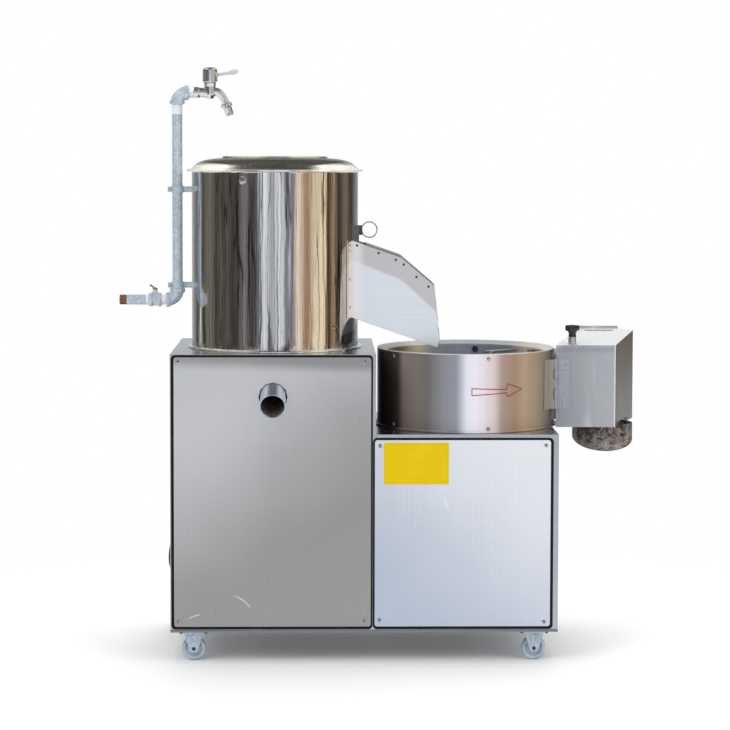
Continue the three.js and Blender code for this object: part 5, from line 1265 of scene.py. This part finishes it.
class PEELER_OT_gate(bpy.types.Operator):
    """Build the sliding discharge gate with its pull ring"""

    bl_idname = "peeler.gate"
    bl_label = "Discharge gate"

    def execute(self, context):
        outer, inner, ear = 177.4, 175.4, 183.4
        half = math.asin(65.6 / outer)
        shape = Shape().prism(sector(outer, inner, -half, half, 40), 68, 256, PEELER)
        for x, low, high in ((176.4, -13, -11), (176.4, 11, 13), (ear - 2, -13, 13)):
            shape.box((x, low, 236), (ear, high, 256), PEELER)
        wire = context.scene.machine_sizes.ring_wire / MILLIMETRE / 2
        reach = 16.3
        middle = ear + reach - 0.65
        ring = [(middle + x, 0, 247 + z) for x, z in circle(reach, 64)]
        shape.tube(ring, [wire] * 64, 12, PEELER, 1, loop=True)
        shape.lathe([(1.4, 0), (3.4, 0), (3.4, 1.2), (1.4, 1.2)], 20, PEELER @ at(ear, 0, 247) @ TO_X, 1)
        shape.piece("gate_plate", "gate", ["gate steel", "screw steel"], ["discharge_gate"], "satin_steel", 0.0004)
        return {"FINISHED"}


class PEELER_OT_chute(bpy.types.Operator):
    """Build the chute's trough with its saddle strips, and dress its cover"""

    bl_idname = "peeler.chute"
    bl_label = "Chute"

    def execute(self, context):
        half, mouth, saddle = 70, 262, 176.8
        left = math.sqrt(DRUM_RADIUS ** 2 - half ** 2)
        cheek = [(left, 66), (340, 3, 6), (346, 17, 3), (333, 133, 3), (265, 191, 3), (left, 227)]
        shape = Shape()
        for low in (half - SHEET, -half):
            shape.prism(cheek, low, low + SHEET, PEELER @ TO_Y)
        fall = (3 - 66) / (340 - left) * (mouth - left)
        floor = [(left, 66), (mouth, 66 + fall), (mouth, 66 + SHEET + fall), (left + 0.6, 66 + SHEET)]
        wall = [(340, 3), (346, 17), (333, 133), (331.5, 133), (344.4, 17.2), (338.6, 3.6)]
        for sheet in (floor, wall):
            shape.prism(sheet, -half, half, PEELER @ TO_Y)
        edge = math.asin(69.25 / saddle)
        for side in (-1, 1):
            strip = sector(saddle, saddle - SHEET, side * edge, side * (edge + 24 / DRUM_RADIUS), 10)
            shape.prism(strip, 66, 227, PEELER, 1)
        finishes = ["chute steel", "peeling drum polish"]
        shape.piece("chute_sheets", "machine", finishes, ["chute_trough"], "satin_steel", 0.0004)
        dress("cover steel", 0.0004, "chute_cover")
        screws = Shape()
        for x, z in ((172, 216.1), (216.8, 200.2), (253, 186.2), (269.5, 176.5), (296.1, 150.4), (321.2, 130.5)):
            for spot in (front_spot(x, -half, z), at(x, half, z) @ TO_Y.inverted()):
                screws.dome(2.6, 1.0, PEELER @ spot, 0, 16)
        for side in (-1, 1):
            for height in (88, 146, 205):
                angle = 90 - side * math.degrees(edge + 13 / DRUM_RADIUS)
                screws.dome(3.0, 1.4, on_round(PEELER, saddle, angle, height), 1, 16)
        screws.piece("chute_screws", "machine", ["dark steel", "screw steel"], slot="satin_steel")
        return {"FINISHED"}


def outlet_plan(inset, back, forward):
    """Plan of the outlet neck from the inner wall to the sloping joint with the hood"""
    front, rear = -60 + inset, 82 - inset
    parting = [185 + (y + 70) * 65 / 185 - 1.2 + forward for y in (front, rear)]
    wall = [math.sqrt(166 ** 2 - y ** 2) - back for y in (-60, 82)]
    return [(wall[0], front), (parting[0], front), (parting[1], rear), (wall[1], rear)]


def outlet_tool():
    return Shape().prism(outlet_plan(2, 12, 6), 16, 150, SLICER).tool()


def slicer_shell(steps):
    top, outside, bore, flange, floor = SLICER_HEIGHT, SLICER_RADIUS, 165, 194, 18
    drum = Shape().lathe([
        (30, floor), (bore, floor), (bore, floor - 2), (bore + 2, floor - 2), (bore + 2, top - 9.5, 1.5),
        (outside - 2, top - 1.5, 1), (outside - 2, 0.3, 1), (flange, 0.3, 1.2), (flange, 3.3, 1.2),
        (outside, 3.3, 3), (outside, top, 1.6), (bore, top - 8, 2.5), (bore, floor + 2, 4), (30, floor + 2, 0.6),
    ], steps, SLICER, fine=4)
    drum = drum.piece("slicing_drum", "machine", ["slicing drum steel"], ["slicer_drum"], "brushed_steel")
    sight = Shape().prism(circle(7, 40, 32, 143), -173, -83.5, SLICER @ TO_Y)
    carve(drum, outlet_tool(), sight.tool())
    neck = Shape().prism(outlet_plan(0, 0, 0), 14, 152, SLICER)
    neck = neck.piece("outlet_neck", "machine", ["hinge steel"], slot="brushed_steel")
    core = Shape().lathe([(0, -6), (166.2, -6), (166.2, 170), (0, 170)], steps, SLICER)
    carve(neck, outlet_tool(), core.tool())


def turning_arrow():
    """The painted outline of an arrow that follows the drum's wall"""
    corners = [(0.4, 77.5), (0.4, 91.6), (23.0, 88.8), (23.8, 100.5), (34.5, 88.1), (23.8, 74.1), (23.0, 81.8)]
    shape = Shape()
    for (a0, z0), (a1, z1) in zip(corners, corners[1:] + corners[:1]):
        across = math.radians(a1 - a0) * SLICER_RADIUS
        reach = math.hypot(across, z1 - z0)
        da, dz = math.degrees((z1 - z0) / reach / SLICER_RADIUS), -across / reach
        rings = []
        for k in range(13):
            angle, height = a0 + (a1 - a0) * k / 12, z0 + (z1 - z0) * k / 12
            rings.append([
                on_round(SLICER, SLICER_RADIUS + out, angle + da * side, height + dz * side).translation
                for side, out in ((-0.95, -0.2), (0.95, -0.2), (0.95, 0.15), (-0.95, 0.15))
            ])
        shape.loft(rings)
    shape.piece("turning_arrow", "machine", ["arrow paint"])


class PEELER_OT_slicing_drum(bpy.types.Operator):
    """Build the slicing drum with its sloping lip, outlet neck, rivets and arrow"""

    bl_idname = "peeler.slicing_drum"
    bl_label = "Slicing drum"

    def execute(self, context):
        sizes = context.scene.machine_sizes
        slicer_shell(sizes.drum_steps)
        rivets = Shape()
        for angle, high in ((-56.5, 151.5), (11, 152), (77, 151), (-128, 151), (150, 151)):
            for height in (high, 9):
                spot = on_round(SLICER, SLICER_RADIUS, angle, height)
                rivets.dome(sizes.rivet_radius / MILLIMETRE, 2.2, spot)
        rivets.piece("drum_rivets", "machine", ["screw steel"], slot="satin_steel")
        turning_arrow()
        dress("knife steel", 0.0003, "slicing_blade")
        return {"FINISHED"}


class PEELER_OT_slicing_rotor(bpy.types.Operator):
    """Build the rotor: a plate and hub with wedge-topped paddles"""

    bl_idname = "peeler.slicing_rotor"
    bl_label = "Slicing rotor"

    def execute(self, context):
        shape = Shape().lathe([
            (0, 36.3), (12.3, 36.3), (12.3, 26), (157, 26, 1), (157, 30, 1), (34, 30, 8), (20.4, 76, 5), (0, 76),
        ], 120, SLICER)
        for i in range(3):
            spot = SLICER @ spun(40 + 120 * i)
            blade = [(17, 26.3), (156.6, 26.3), (156.6, 148, 4), (78.5, 148, 12), (17, 96, 4)]
            shape.prism(blade, -2, 2, spot @ TO_Y)
            shape.prism([(79, -2), (154.5, -2), (154.5, 25.8, 6), (79, 25.8, 6)], 144, 148, spot)
        finishes = ["satin steel"]
        shape.piece("paddle_rotor", "slicing_rotor", finishes, ["slicer_rotor"], "satin_steel", 0.0005)
        return {"FINISHED"}


def spout():
    """The round outlet below the hood, cut off at a slant"""
    rings = []
    for c, s in circle(1, 96):
        low = -58 + (64 * s + 70) * 49 / 140
        profile = ((62, -1.3), (64, -1.3), (64, low + 0.6), (63.4, low), (62.6, low), (62, low + 0.6))
        rings.append([(radius * c, radius * s, height) for radius, height in profile])
    shape = Shape().loft(rings, SLICER @ at(295, 25, 0), 0, True)
    shape.piece("slant_spout", "hood", ["mottled steel"], ["discharge_spout"], "mottled_steel")


def hinge():
    """A butt hinge of five knuckles: one leaf screwed to the drum, the other with the pin to the hood"""
    foot, head, knuckles = 38, 142, 5
    pitch = (head - foot) / knuckles
    barrel = SLICER @ at(184, -74.5, 0)
    drum_leaf, hood_leaf = Shape(), Shape()
    plate = sector(188.5, 187.3, math.radians(-33), math.radians(-25), 8)
    outer, inner = plate[8:10]
    drum_leaf.prism(plate, foot, head, SLICER)
    for i in range(knuckles):
        low, high = foot + i * pitch + 0.25, foot + (i + 1) * pitch - 0.25
        leaf = hood_leaf if i % 2 else drum_leaf
        leaf.lathe([(1.9, low), (4, low, 0.5), (4, high, 0.5), (1.9, high)], 28, barrel, fine=3)
        if i % 2:
            hood_leaf.box((184, -71.4, low), (188.7, -70.4, high), SLICER)
            drum_leaf.prism([outer, (179.3, -77.4), (179.3, -76.2), inner], low - 0.55, high + 0.55, SLICER)
        else:
            drum_leaf.prism([outer, (183, -76.4), (183.6, -75.2), inner], low, high, SLICER)
    hood_leaf.box((188.5, -71.5, foot), (213, -70.3, head), SLICER)
    pin = [(0, foot - 0.8), (1.6, foot - 0.8), (1.6, head), (2.6, head + 0.3), (2.2, head + 1.6), (0, head + 2)]
    hood_leaf.lathe(pin, 20, barrel)
    for x, z in ((207.5, 128), (206.6, 71), (200.6, 46), (203, 116)):
        hood_leaf.dome(2.6, 1.3, SLICER @ front_spot(x, -71.5, z), 1, 18)
    for angle, height in ((64.4, 69.6), (61.8, 46.2), (58.6, 129.8), (59.5, 100)):
        drum_leaf.dome(2.6, 1.3, on_round(SLICER, 188.5, angle, height), 1, 18)
    finishes = ["hinge steel", "screw steel"]
    drum_leaf.piece("hinge_drum_leaf", "machine", finishes, ["hinge_fixed_leaf"], "satin_steel", 0.0002)
    hood_leaf.piece("hinge_hood_leaf", "hood", finishes, ["hinge_moving_leaf"], "satin_steel", 0.0002)


def knob(base, place):
    """A black knob of six soft lobes on its neck, with the thread below it"""
    rings = []
    angles = [TURN * k / 120 for k in range(120)]
    lobes = [(KNOB_RADIUS - KNOB_LOBE * (1 - math.cos(6 * angle)), angle) for angle in angles]
    for height, scale in (
        (12, 0.80), (12.4, 0.9), (13.6, 0.98), (15, 1.0), (21.4, 1.0), (22.8, 0.98), (23.7, 0.9),
        (24, 0.8), (24, 0.5), (23.2, 0.44), (23.2, 0.1),
    ):
        rings.append([
            (scale * radius * math.cos(angle), scale * radius * math.sin(angle), base + height)
            for radius, angle in lobes
        ])
    shape = Shape().loft(rings, place)
    shape.lathe([
        (0, base), (7.6, base, 0.4), (8, base + 1, 1), (7.4, base + 7, 5), (10.5, base + 12.5, 1), (0, base + 12.5),
    ], 40, place, fine=4)
    thread = [(0, base - 28)]
    for k in range(20):
        thread += [(4.0, base - 27.5 + k * 1.4), (3.5, base - 26.8 + k * 1.4)]
    shape.lathe([*thread, (0, base + 0.4)], 24, place, 1)
    shape.piece("lobed_knob", "knob", ["black plastic", "screw steel"], ["clamp_knob"], "black_plastic")


class PEELER_OT_hood(bpy.types.Operator):
    """Dress the discharge hood and build its boss sleeve, spout, hinge and clamp knob"""

    bl_idname = "peeler.hood"
    bl_label = "Discharge hood"

    def execute(self, context):
        dress("hood steel", 0.0008, "discharge_hood")
        base = 171 + HOOD_SLOPE * 10
        boss = SLICER @ at(220, -60, 0)
        sleeve = Shape().lathe([
            (7.9, base - 1), (9.6, base - 0.4, 0.5), (8.25, base + 1.8, 1.5), (8.25, base + 16, 0.5),
            (7.9, base + 16.1),
        ], 40, boss, fine=3)
        sleeve.piece("boss_sleeve", "hood", ["satin steel"], slot="satin_steel")
        spout()
        hinge()
        knob(base + 16.3, boss)
        return {"FINISHED"}


def pipe(shape, low, high, place, steps=48):
    shape.lathe([(PIPE_BORE, low), (PIPE_RADIUS, low), (PIPE_RADIUS, high), (PIPE_BORE, high)], steps, place)


def elbow(name, side, up, place):
    """A bend with a rolled rim at both ends"""
    path = []
    for k in range(17):
        t = k / 16
        quarter = math.pi / 2 * t
        x = ELBOW_REACH * (0.45 * t * t + 0.55 * (1 - math.cos(quarter)))
        z = ELBOW_REACH * (0.45 * (1 - t) ** 2 + 0.55 * (1 - math.sin(quarter)))
        path.append((side * x, 0, up * z))
    shape = Shape().tube(path, [13.5] * 17, 40, place)
    rim = [
        (10.9, 15.4), (14.2, 15.4, 1), (15.6, 17, 1), (15.6, ELBOW_REACH - 0.6, 1), (14.6, ELBOW_REACH, 0.6),
        (10.9, ELBOW_REACH),
    ]
    for toward in (Matrix() if up > 0 else spun(180, "X"), TO_X if side > 0 else TO_MINUS_X):
        shape.lathe(rim, 40, place @ toward, fine=3)
    shape.piece(f"{name}_fitting", "machine", ["galvanised"], [name], "galvanised")


def stop_cock(low):
    """The cock on the inlet's run, and its brass lever"""
    shape = Shape()
    pipe(shape, 12, 35, low @ TO_MINUS_X, 40)
    shape.lathe([
        (8, 34), (13.6, 34, 1), (14.5, 36, 1), (14.5, 41, 1), (12.6, 43, 2), (12.6, 51, 2), (14.5, 53, 1),
        (14.5, 58, 1), (13.6, 60, 1), (11, 60), (11, 48), (8, 48),
    ], 40, low @ TO_MINUS_X, fine=3)
    stem = low @ at(-47, 0, 0)
    shape.lathe([(0, 10), (6.4, 10), (6.4, 16, 1), (5, 17.5, 1), (5, 21, 0.4), (0, 21)], 28, stem)
    shape.piece("stop_cock_body", "machine", ["galvanised"], ["stop_cock"], "galvanised")
    lever = Shape().lathe([(0, 21.3), (5.2, 21.3, 0.4), (5.2, 24.2, 0.8), (4.2, 25, 1), (0, 25)], 28, stem)
    handle = [(0, -4.5), (-15, -3.6, 3), (-15, 3.6, 3), (0, 4.5)]
    lever.prism(handle, 0.2, 3.2, stem @ at(0, 0, 21.3) @ spun(35, "Y"), 0, 0.6)
    lever.piece("cock_handle_lever", "cock_handle", ["brass"], ["cock_lever"], "brass")


def tap_body(place, head):
    """The tap's inlet, neck, bent spout and knurled collar"""
    shape = Shape()
    shape.lathe([
        (0, 12), (10.6, 12), (10.6, 34), (12, 36, 1), (12, 44, 2), (10.4, 47, 2), (10.4, 58, 3),
        (12, TAP_REACH, 2), (0, TAP_REACH),
    ], 48, place @ TO_X, fine=4)
    shape.lathe([
        (0, -12.3), (8, -12.3, 3), (12, -5, 5), (12.6, 2, 5), (11.4, 12, 5), (12.5, 19, 1.5), (12.5, 21, 0.5),
        (0, 21),
    ], 48, head, fine=4)
    points = [Vector((TAP_REACH, 0, 0)), Vector((92, 0, 9.4)), Vector((100.6, 0, -15.7)), Vector((110, 0, -47))]
    path = []
    for k in range(25):
        t = k / 24
        weights = ((1 - t) ** 3, 3 * t * (1 - t) ** 2, 3 * t * t * (1 - t), t ** 3)
        path.append(sum((point * weight for point, weight in zip(points, weights)), Vector()))
    shape.tube(path, [9.6 - 1.6 * min(1, k / 14) for k in range(25)], 32, place)
    along = (path[24] - path[17]).normalized()
    mouth = place @ Matrix.Translation(path[17]) @ along.to_track_quat("Z", "Y").to_matrix().to_4x4()
    shape.lathe([
        (7, 0), (10.4, 0, 1), (11.5, 1.4, 1), (11.5, 7.6, 1), (10.2, 9, 1), (8.6, 9.4, 0.6), (8.9, 21, 0.6), (7, 21),
    ], 40, mouth, fine=3)
    for k in range(24):
        shape.box((10.9, -0.5, 2.2), (11.75, 0.5, 6.8), mouth @ spun(15 * k))
    shape.piece("tap_spout", "machine", ["chrome"], ["tap_body"], "chrome")


def tap_lever(head):
    """The tap's ribbed cap with its waisted, tilted lever"""
    cap = Shape().lathe([
        (0, 21.3), (14.2, 21.3, 0.6), (15, 23, 1.5), (15, 48, 5), (12, 52.3, 4), (0, 52.3),
    ], 60, head)
    for k in range(20):
        cap.box((14.2, -0.9, 24.5), (15.4, 0.9, 44), head @ spun(18 * k))
    rings = []
    tilt, climb = math.radians(50), math.tan(math.radians(10))
    for k in range(25):
        t = k / 24
        x = 10 + 49.4 * t
        wide = 5.4 + 2.6 * math.exp(-((t - 0.82) / 0.16) ** 2) - 0.8 * math.exp(-((t - 0.4) / 0.2) ** 2)
        wide, thick = wide * math.sqrt(1 - max(0, (t - 0.86) / 0.15) ** 2), 1.7 - 0.5 * t
        ring = []
        for c, s in circle(1, 24):
            across, out = wide * c, thick * s
            y, z = across * math.cos(tilt) - out * math.sin(tilt), across * math.sin(tilt) + out * math.cos(tilt)
            ring.append((x, y, 34 + x * climb + z))
        rings.append(ring)
    cap.loft(rings, head, 1)
    cap.piece("tap_cap_lever", "tap_handle", ["chrome", "lever steel"], ["tap_lever"], "chrome")


def pipe_clamps():
    """A band round the riser at two heights, each with an arm that reaches the drum"""
    reach = math.hypot(RISER_X, RISER_Y)
    heading = Matrix.Rotation(math.atan2(-RISER_Y, -RISER_X), 4, "Z")
    for name, height in (("upper_pipe_clamp", 332), ("lower_pipe_clamp", 132)):
        place = RISER @ at(0, 0, height) @ heading
        band = [(radius, z, 0.5) for radius, z in ((10.95, -7), (13, -7), (13, 7), (10.95, 7))]
        shape = Shape().lathe(band, 40, place, fine=2)
        foot = reach - DRUM_RADIUS
        arm = [(0, 12), (6, 12), (6, foot - 3, 0.5), (7.4, foot - 1.4, 0.5), (7.4, foot + 0.2), (0, foot + 0.2)]
        shape.lathe(arm, 28, place @ TO_X, fine=2)
        for side in (-1.2, 1.2):
            shape.box((-20, side - 0.9, -5.5), (-12.2, side + 0.9, 5.5), place)
        shape.lathe([(0, -4.4), (2.6, -4.4), (2.6, 4.4), (0, 4.4)], 6, place @ at(-16.4, 0, 0) @ TO_Y, 1)
        shape.piece(f"{name}_band", "machine", ["galvanised", "screw steel"], [name], "galvanised", 0.0002)


def thread_tape(low, high):
    """White tape wound round the threads, a little thicker here and thinner there"""
    shape = Shape()
    for start, end, place, phase in (
        (488, 509.6, RISER, 0.4), (24.4, 35, high @ TO_X, 1.0), (24.4, 33.6, low @ TO_MINUS_X, 2.0),
        (60.4, 66, low @ TO_MINUS_X, 0.2), (125.4, 131, RISER, 2.6),
    ):
        wound = [(10.95 + 0.28 * math.sin(3.1 * k + phase), start + (end - start) * k / 8) for k in range(9)]
        shape.lathe([(10.5, start), *wound, (10.5, end)], 40, place)
    shape.piece("thread_tape", "machine", ["thread tape"], slot="galvanised")


class PEELER_OT_water_line(bpy.types.Operator):
    """Build the riser, elbows, stop cock, inlet, tap and clamps"""

    bl_idname = "peeler.water_line"
    bl_label = "Water line"

    def execute(self, context):
        low, high = RISER @ at(0, 0, LOWER_ELBOW), RISER @ at(0, 0, UPPER_ELBOW)
        riser = Shape()
        pipe(riser, LOWER_ELBOW + 12, UPPER_ELBOW - 12, RISER)
        for k in range(5):
            z = 121 + k * 1.8
            riser.lathe([(10.4, z), (10.9, z + 0.5), (10.9, z + 0.9), (10.4, z + 1.4)], 32, RISER, 1)
        riser.piece("riser", "machine", ["galvanised", "dark steel"], ["riser_pipe"], "galvanised")
        elbow("lower_elbow", -1, 1, low)
        elbow("upper_elbow", 1, -1, high)
        stop_cock(low)
        inlet = Shape()
        pipe(inlet, 48.3, 106, low @ TO_MINUS_X)
        thread = []
        for k in range(8):
            thread += [(PIPE_RADIUS, 106.3 + k * 1.8), (9.9, 107.2 + k * 1.8)]
        inlet.lathe([(PIPE_BORE, 106), *thread, (9.6, 121), (PIPE_BORE, 121)], 48, low @ TO_MINUS_X, 1)
        inlet.piece("inlet", "machine", ["galvanised", "rusty thread"], ["inlet_pipe"], "galvanised")
        head = high @ at(TAP_REACH, 0, 0)
        tap_body(high, head)
        tap_lever(head)
        pipe_clamps()
        thread_tape(low, high)
        return {"FINISHED"}


class PEELER_OT_switches(bpy.types.Operator):
    """Build the switch box on the left wall with its two buttons"""

    bl_idname = "peeler.switches"
    bl_label = "Switch box and buttons"

    def execute(self, context):
        dress("grey plastic", 0.0015, "switch_box")
        trim = Shape()
        cap = [(0, -5), (8.2, -4.6, 4), (10, -3.4, 1.5), (10, 7.7, 0.5), (0, 7.7)]
        ring = [(r, z, 0.3) for r, z in ((10.5, 0.4), (13.4, 0.4), (12.8, -1.2), (11, -1.4), (10.5, -0.6))]
        for verb, hue, height in zip(("start", "stop"), ("green", "red"), SWITCH_HEIGHTS):
            place = at(SWITCH_FACE, SWITCH_Y, height) @ TO_X
            button = Shape().lathe(cap, 48, place)
            finishes, slot = [f"{hue} plastic"], f"{hue}_plastic"
            button.piece(f"{verb}_button_cap", f"{verb}_push", finishes, [f"{verb}_button"], slot)
            trim.lathe(ring, 48, place, fine=2)
        for y in (340.5, 391.5):
            for z in (317.5, 406.5):
                pan_screw(trim, at(SWITCH_FACE, y, z) @ TO_MINUS_X, 2.4, 1, 2)
        trim.piece("switch_trim", "machine", ["black plastic", "screw steel", "dark steel"], slot="grey_plastic")
        return {"FINISHED"}


def seen_as_backdrop(nodes):
    """1 where the camera, polished metal or glass looks at the surface, 0 where it lights the machine"""
    path = nodes.tree.nodes.new("ShaderNodeLightPath")
    rays = [Value(nodes, path.outputs[name]) for name in ("Is Camera Ray", "Is Glossy Ray", "Is Transmission Ray")]
    return (rays[0] + rays[1] + rays[2]).clamped()


def glow(nodes, strength, kind="Emission"):
    return nodes.add(kind, {}, {"Color": (1, 1, 1), "Strength": strength})


def staged(name, points, faces, material):
    mesh = bpy.data.meshes.new(name)
    mesh.from_pydata(points, [], faces)
    mesh.materials.append(material)
    made = new_object(name, mesh)
    return made


def lay_floor(settings, size=30):
    """A pale floor that keeps the machine's shadow near it and turns white further out"""
    material, nodes = new_material("pale floor")
    x, y, z = nodes.axes(nodes.position())
    far = (x * x * 0.75 + (y - 0.05) * (y - 0.05)).math("SQRT").smooth(0.62, 1.15)
    grit = nodes.noise(nodes.position(), 8.0, 3.0)
    matt = nodes.add("BsdfDiffuse", {}, {"Color": nodes.mix(grit * 0.2, tuple(settings.floor), (0.8, 0.8, 0.8))})
    lifted = nodes.add("AddShader", {}, {0: matt, 1: glow(nodes, 0.10)})
    seen = seen_as_backdrop(nodes)
    lit = nodes.add("MixShader", {}, {0: seen, 1: matt, 2: lifted})
    mixed = nodes.add("MixShader", {}, {0: far * seen, 1: lit, 2: glow(nodes, 1.0)})
    nodes.add("OutputMaterial", {}, {"Surface": mixed})
    corners = [(-size, -size, 0), (size, -size, 0), (size, size, 0), (-size, size, 0)]
    staged("floor", corners, [(0, 1, 2, 3)], material).location.z = -0.0004


def hang_surround(radius, steps=96, levels=20, middle=0.45):
    """A dome seen only in the steel, as bright and dark as the room round a workshop"""
    points, faces = [], []
    for level in range(levels + 1):
        lift = math.radians(-4 + 94 * level / levels)
        out, height = radius * math.cos(lift), radius * math.sin(lift) + middle
        points += [(out * s, -out * c, height) for c, s in circle(1, steps)]
    for level in range(levels):
        for i in range(steps):
            a, b = level * steps + i, level * steps + (i + 1) % steps
            faces.append((a, b, b + steps, a + steps))
    material, nodes = new_material("surround dome")
    x, y, z = nodes.axes(nodes.position())
    share = x.math("ARCTAN2", y * -1) / TURN + 0.5
    lift = ((z - middle) / radius).clamped().math("ARCSINE") * (360 / TURN)
    bands = [
        (-180, 214, 216, 220), (-150, 170, 170, 172), (-128, 62, 58, 54), (-123, 240, 238, 232), (-118, 62, 58, 56),
        (-100, 124, 122, 110), (-84, 66, 62, 58), (-70, 150, 142, 132), (-58, 62, 58, 58), (-44, 150, 144, 142),
        (-34, 58, 54, 54), (-22, 110, 108, 112), (-18, 244, 248, 255), (-4, 196, 198, 206), (4, 255),
        (16, 214, 220, 232), (21, 128, 132, 148), (25, 150, 118, 100), (30, 250, 240, 228), (40, 196, 156, 122),
        (47, 206, 168, 132), (52, 255, 236, 208), (72, 250, 224, 186), (77, 52, 42, 36), (90, 190, 160, 130),
        (98, 48, 42, 38), (118, 150, 130, 112), (132, 62, 56, 52), (150, 170, 170, 170), (180, 214, 216, 220),
    ]
    room = nodes.ramp(share, [((angle + 180) / 360, *tones) for angle, *tones in bands])
    streaks = nodes.noise(nodes.vector(share * 190, z * 0.10, 0), 1.0, 4.0, 0.6)
    bright = nodes.noise(nodes.vector(share * 320, z * 0.16, 7.0), 1.0, 2.0).smooth(0.66, 0.74)
    walls = nodes.mix(1.0, room, 0.62 + streaks.smooth(0.32, 0.66) * 0.5, "MULTIPLY")
    walls = nodes.mix(bright * 0.45, walls, colour(232, 226, 216))
    rafters = nodes.noise(nodes.stretched(nodes.position(), (0.5, 2.2, 0.4)), 1.0, 3.0)
    ceiling = nodes.mix(rafters.smooth(0.36, 0.64), colour(64, 62, 60), colour(176, 176, 172))
    side = (x.math("ABSOLUTE") / radius).smooth(0.25, 0.55)
    ceiling = nodes.mix(side * 0.85, ceiling, colour(246, 238, 222))
    light = nodes.add("Emission", {}, {"Color": nodes.mix(lift.smooth(20, 34), walls, ceiling), "Strength": 1.0})
    nodes.add("OutputMaterial", {}, {"Surface": light})
    dome = staged("surround", points, faces, material)
    dome.visible_camera = dome.visible_diffuse = dome.visible_shadow = dome.visible_transmission = False


def light_world(ambient):
    world = bpy.data.worlds.new("studio")
    bpy.context.scene.world = world
    world.use_nodes = True
    nodes = Nodes(world.node_tree)
    plain, white = glow(nodes, ambient, "Background"), glow(nodes, 1.0, "Background")
    light = nodes.add("MixShader", {}, {0: seen_as_backdrop(nodes), 1: plain, 2: white})
    nodes.add("OutputWorld", {}, {"Surface": light})


class PEELER_OT_stage(bpy.types.Operator):
    """Lay the floor, hang the mirrored surround and set the lights"""

    bl_idname = "peeler.stage"
    bl_label = "Floor and light"

    def execute(self, context):
        settings = context.scene.stage_settings
        lay_floor(settings)
        hang_surround(settings.surround_radius)
        light_world(settings.ambient)
        for name, place, size, power in (
            ("key", (-3.2, -3.6, 3.8), 3.0, 125), ("fill", (3.6, -3.0, 3.0), 3.0, 70),
            ("top", (0.2, 0.6, 4.2), 3.2, 70), ("back", (0.5, 4.0, 3.0), 3.0, 60),
        ):
            data = bpy.data.lights.new(name, "AREA")
            data.energy = power
            data.size = size
            lamp = new_object(name, data)
            lamp.location = place
            lamp.visible_glossy = False
            lamp.rotation_euler = (Vector((0, 0, 0.5)) - Vector(place)).to_track_quat("-Z", "Y").to_euler()
        context.scene.view_settings.view_transform = "Standard"
        return {"FINISHED"}


class PEELER_PT_panel(bpy.types.Panel):
    """The machine's pieces and settings"""

    bl_label = "Potato peeler"
    bl_idname = "PEELER_PT_panel"
    bl_space_type = "VIEW_3D"
    bl_region_type = "UI"
    bl_category = "Peeler"

    def draw(self, context):
        for each in OPERATORS:
            self.layout.operator(each.bl_idname)
        for name, group in GROUPS.items():
            box = self.layout.box()
            for setting in group.__annotations__:
                box.prop(getattr(context.scene, name), setting)


OPERATORS = [
    PEELER_OT_camera, PEELER_OT_power_lead, PEELER_OT_cabinets, PEELER_OT_casters, PEELER_OT_peeling_drum,
    PEELER_OT_lid, PEELER_OT_peeling_disc, PEELER_OT_drives, PEELER_OT_drain, PEELER_OT_gate, PEELER_OT_chute,
    PEELER_OT_slicing_drum, PEELER_OT_slicing_rotor, PEELER_OT_hood, PEELER_OT_water_line, PEELER_OT_switches,
    PEELER_OT_stage,
]
GROUPS = {"machine_sizes": MachineSizes, "machine_colours": MachineColours, "stage_settings": StageSettings}


def register():
    for each in (*GROUPS.values(), *OPERATORS, PEELER_PT_panel):
        bpy.utils.register_class(each)
    for name, group in GROUPS.items():
        setattr(bpy.types.Scene, name, PointerProperty(type=group))


def unregister():
    for name in GROUPS:
        delattr(bpy.types.Scene, name)
    for each in reversed((*GROUPS.values(), *OPERATORS, PEELER_PT_panel)):
        bpy.utils.unregister_class(each)


def main():
    register()
    for each in OPERATORS:
        getattr(bpy.ops.peeler, each.bl_idname.split(".")[1])()


if __name__ == "__main__":
    main()
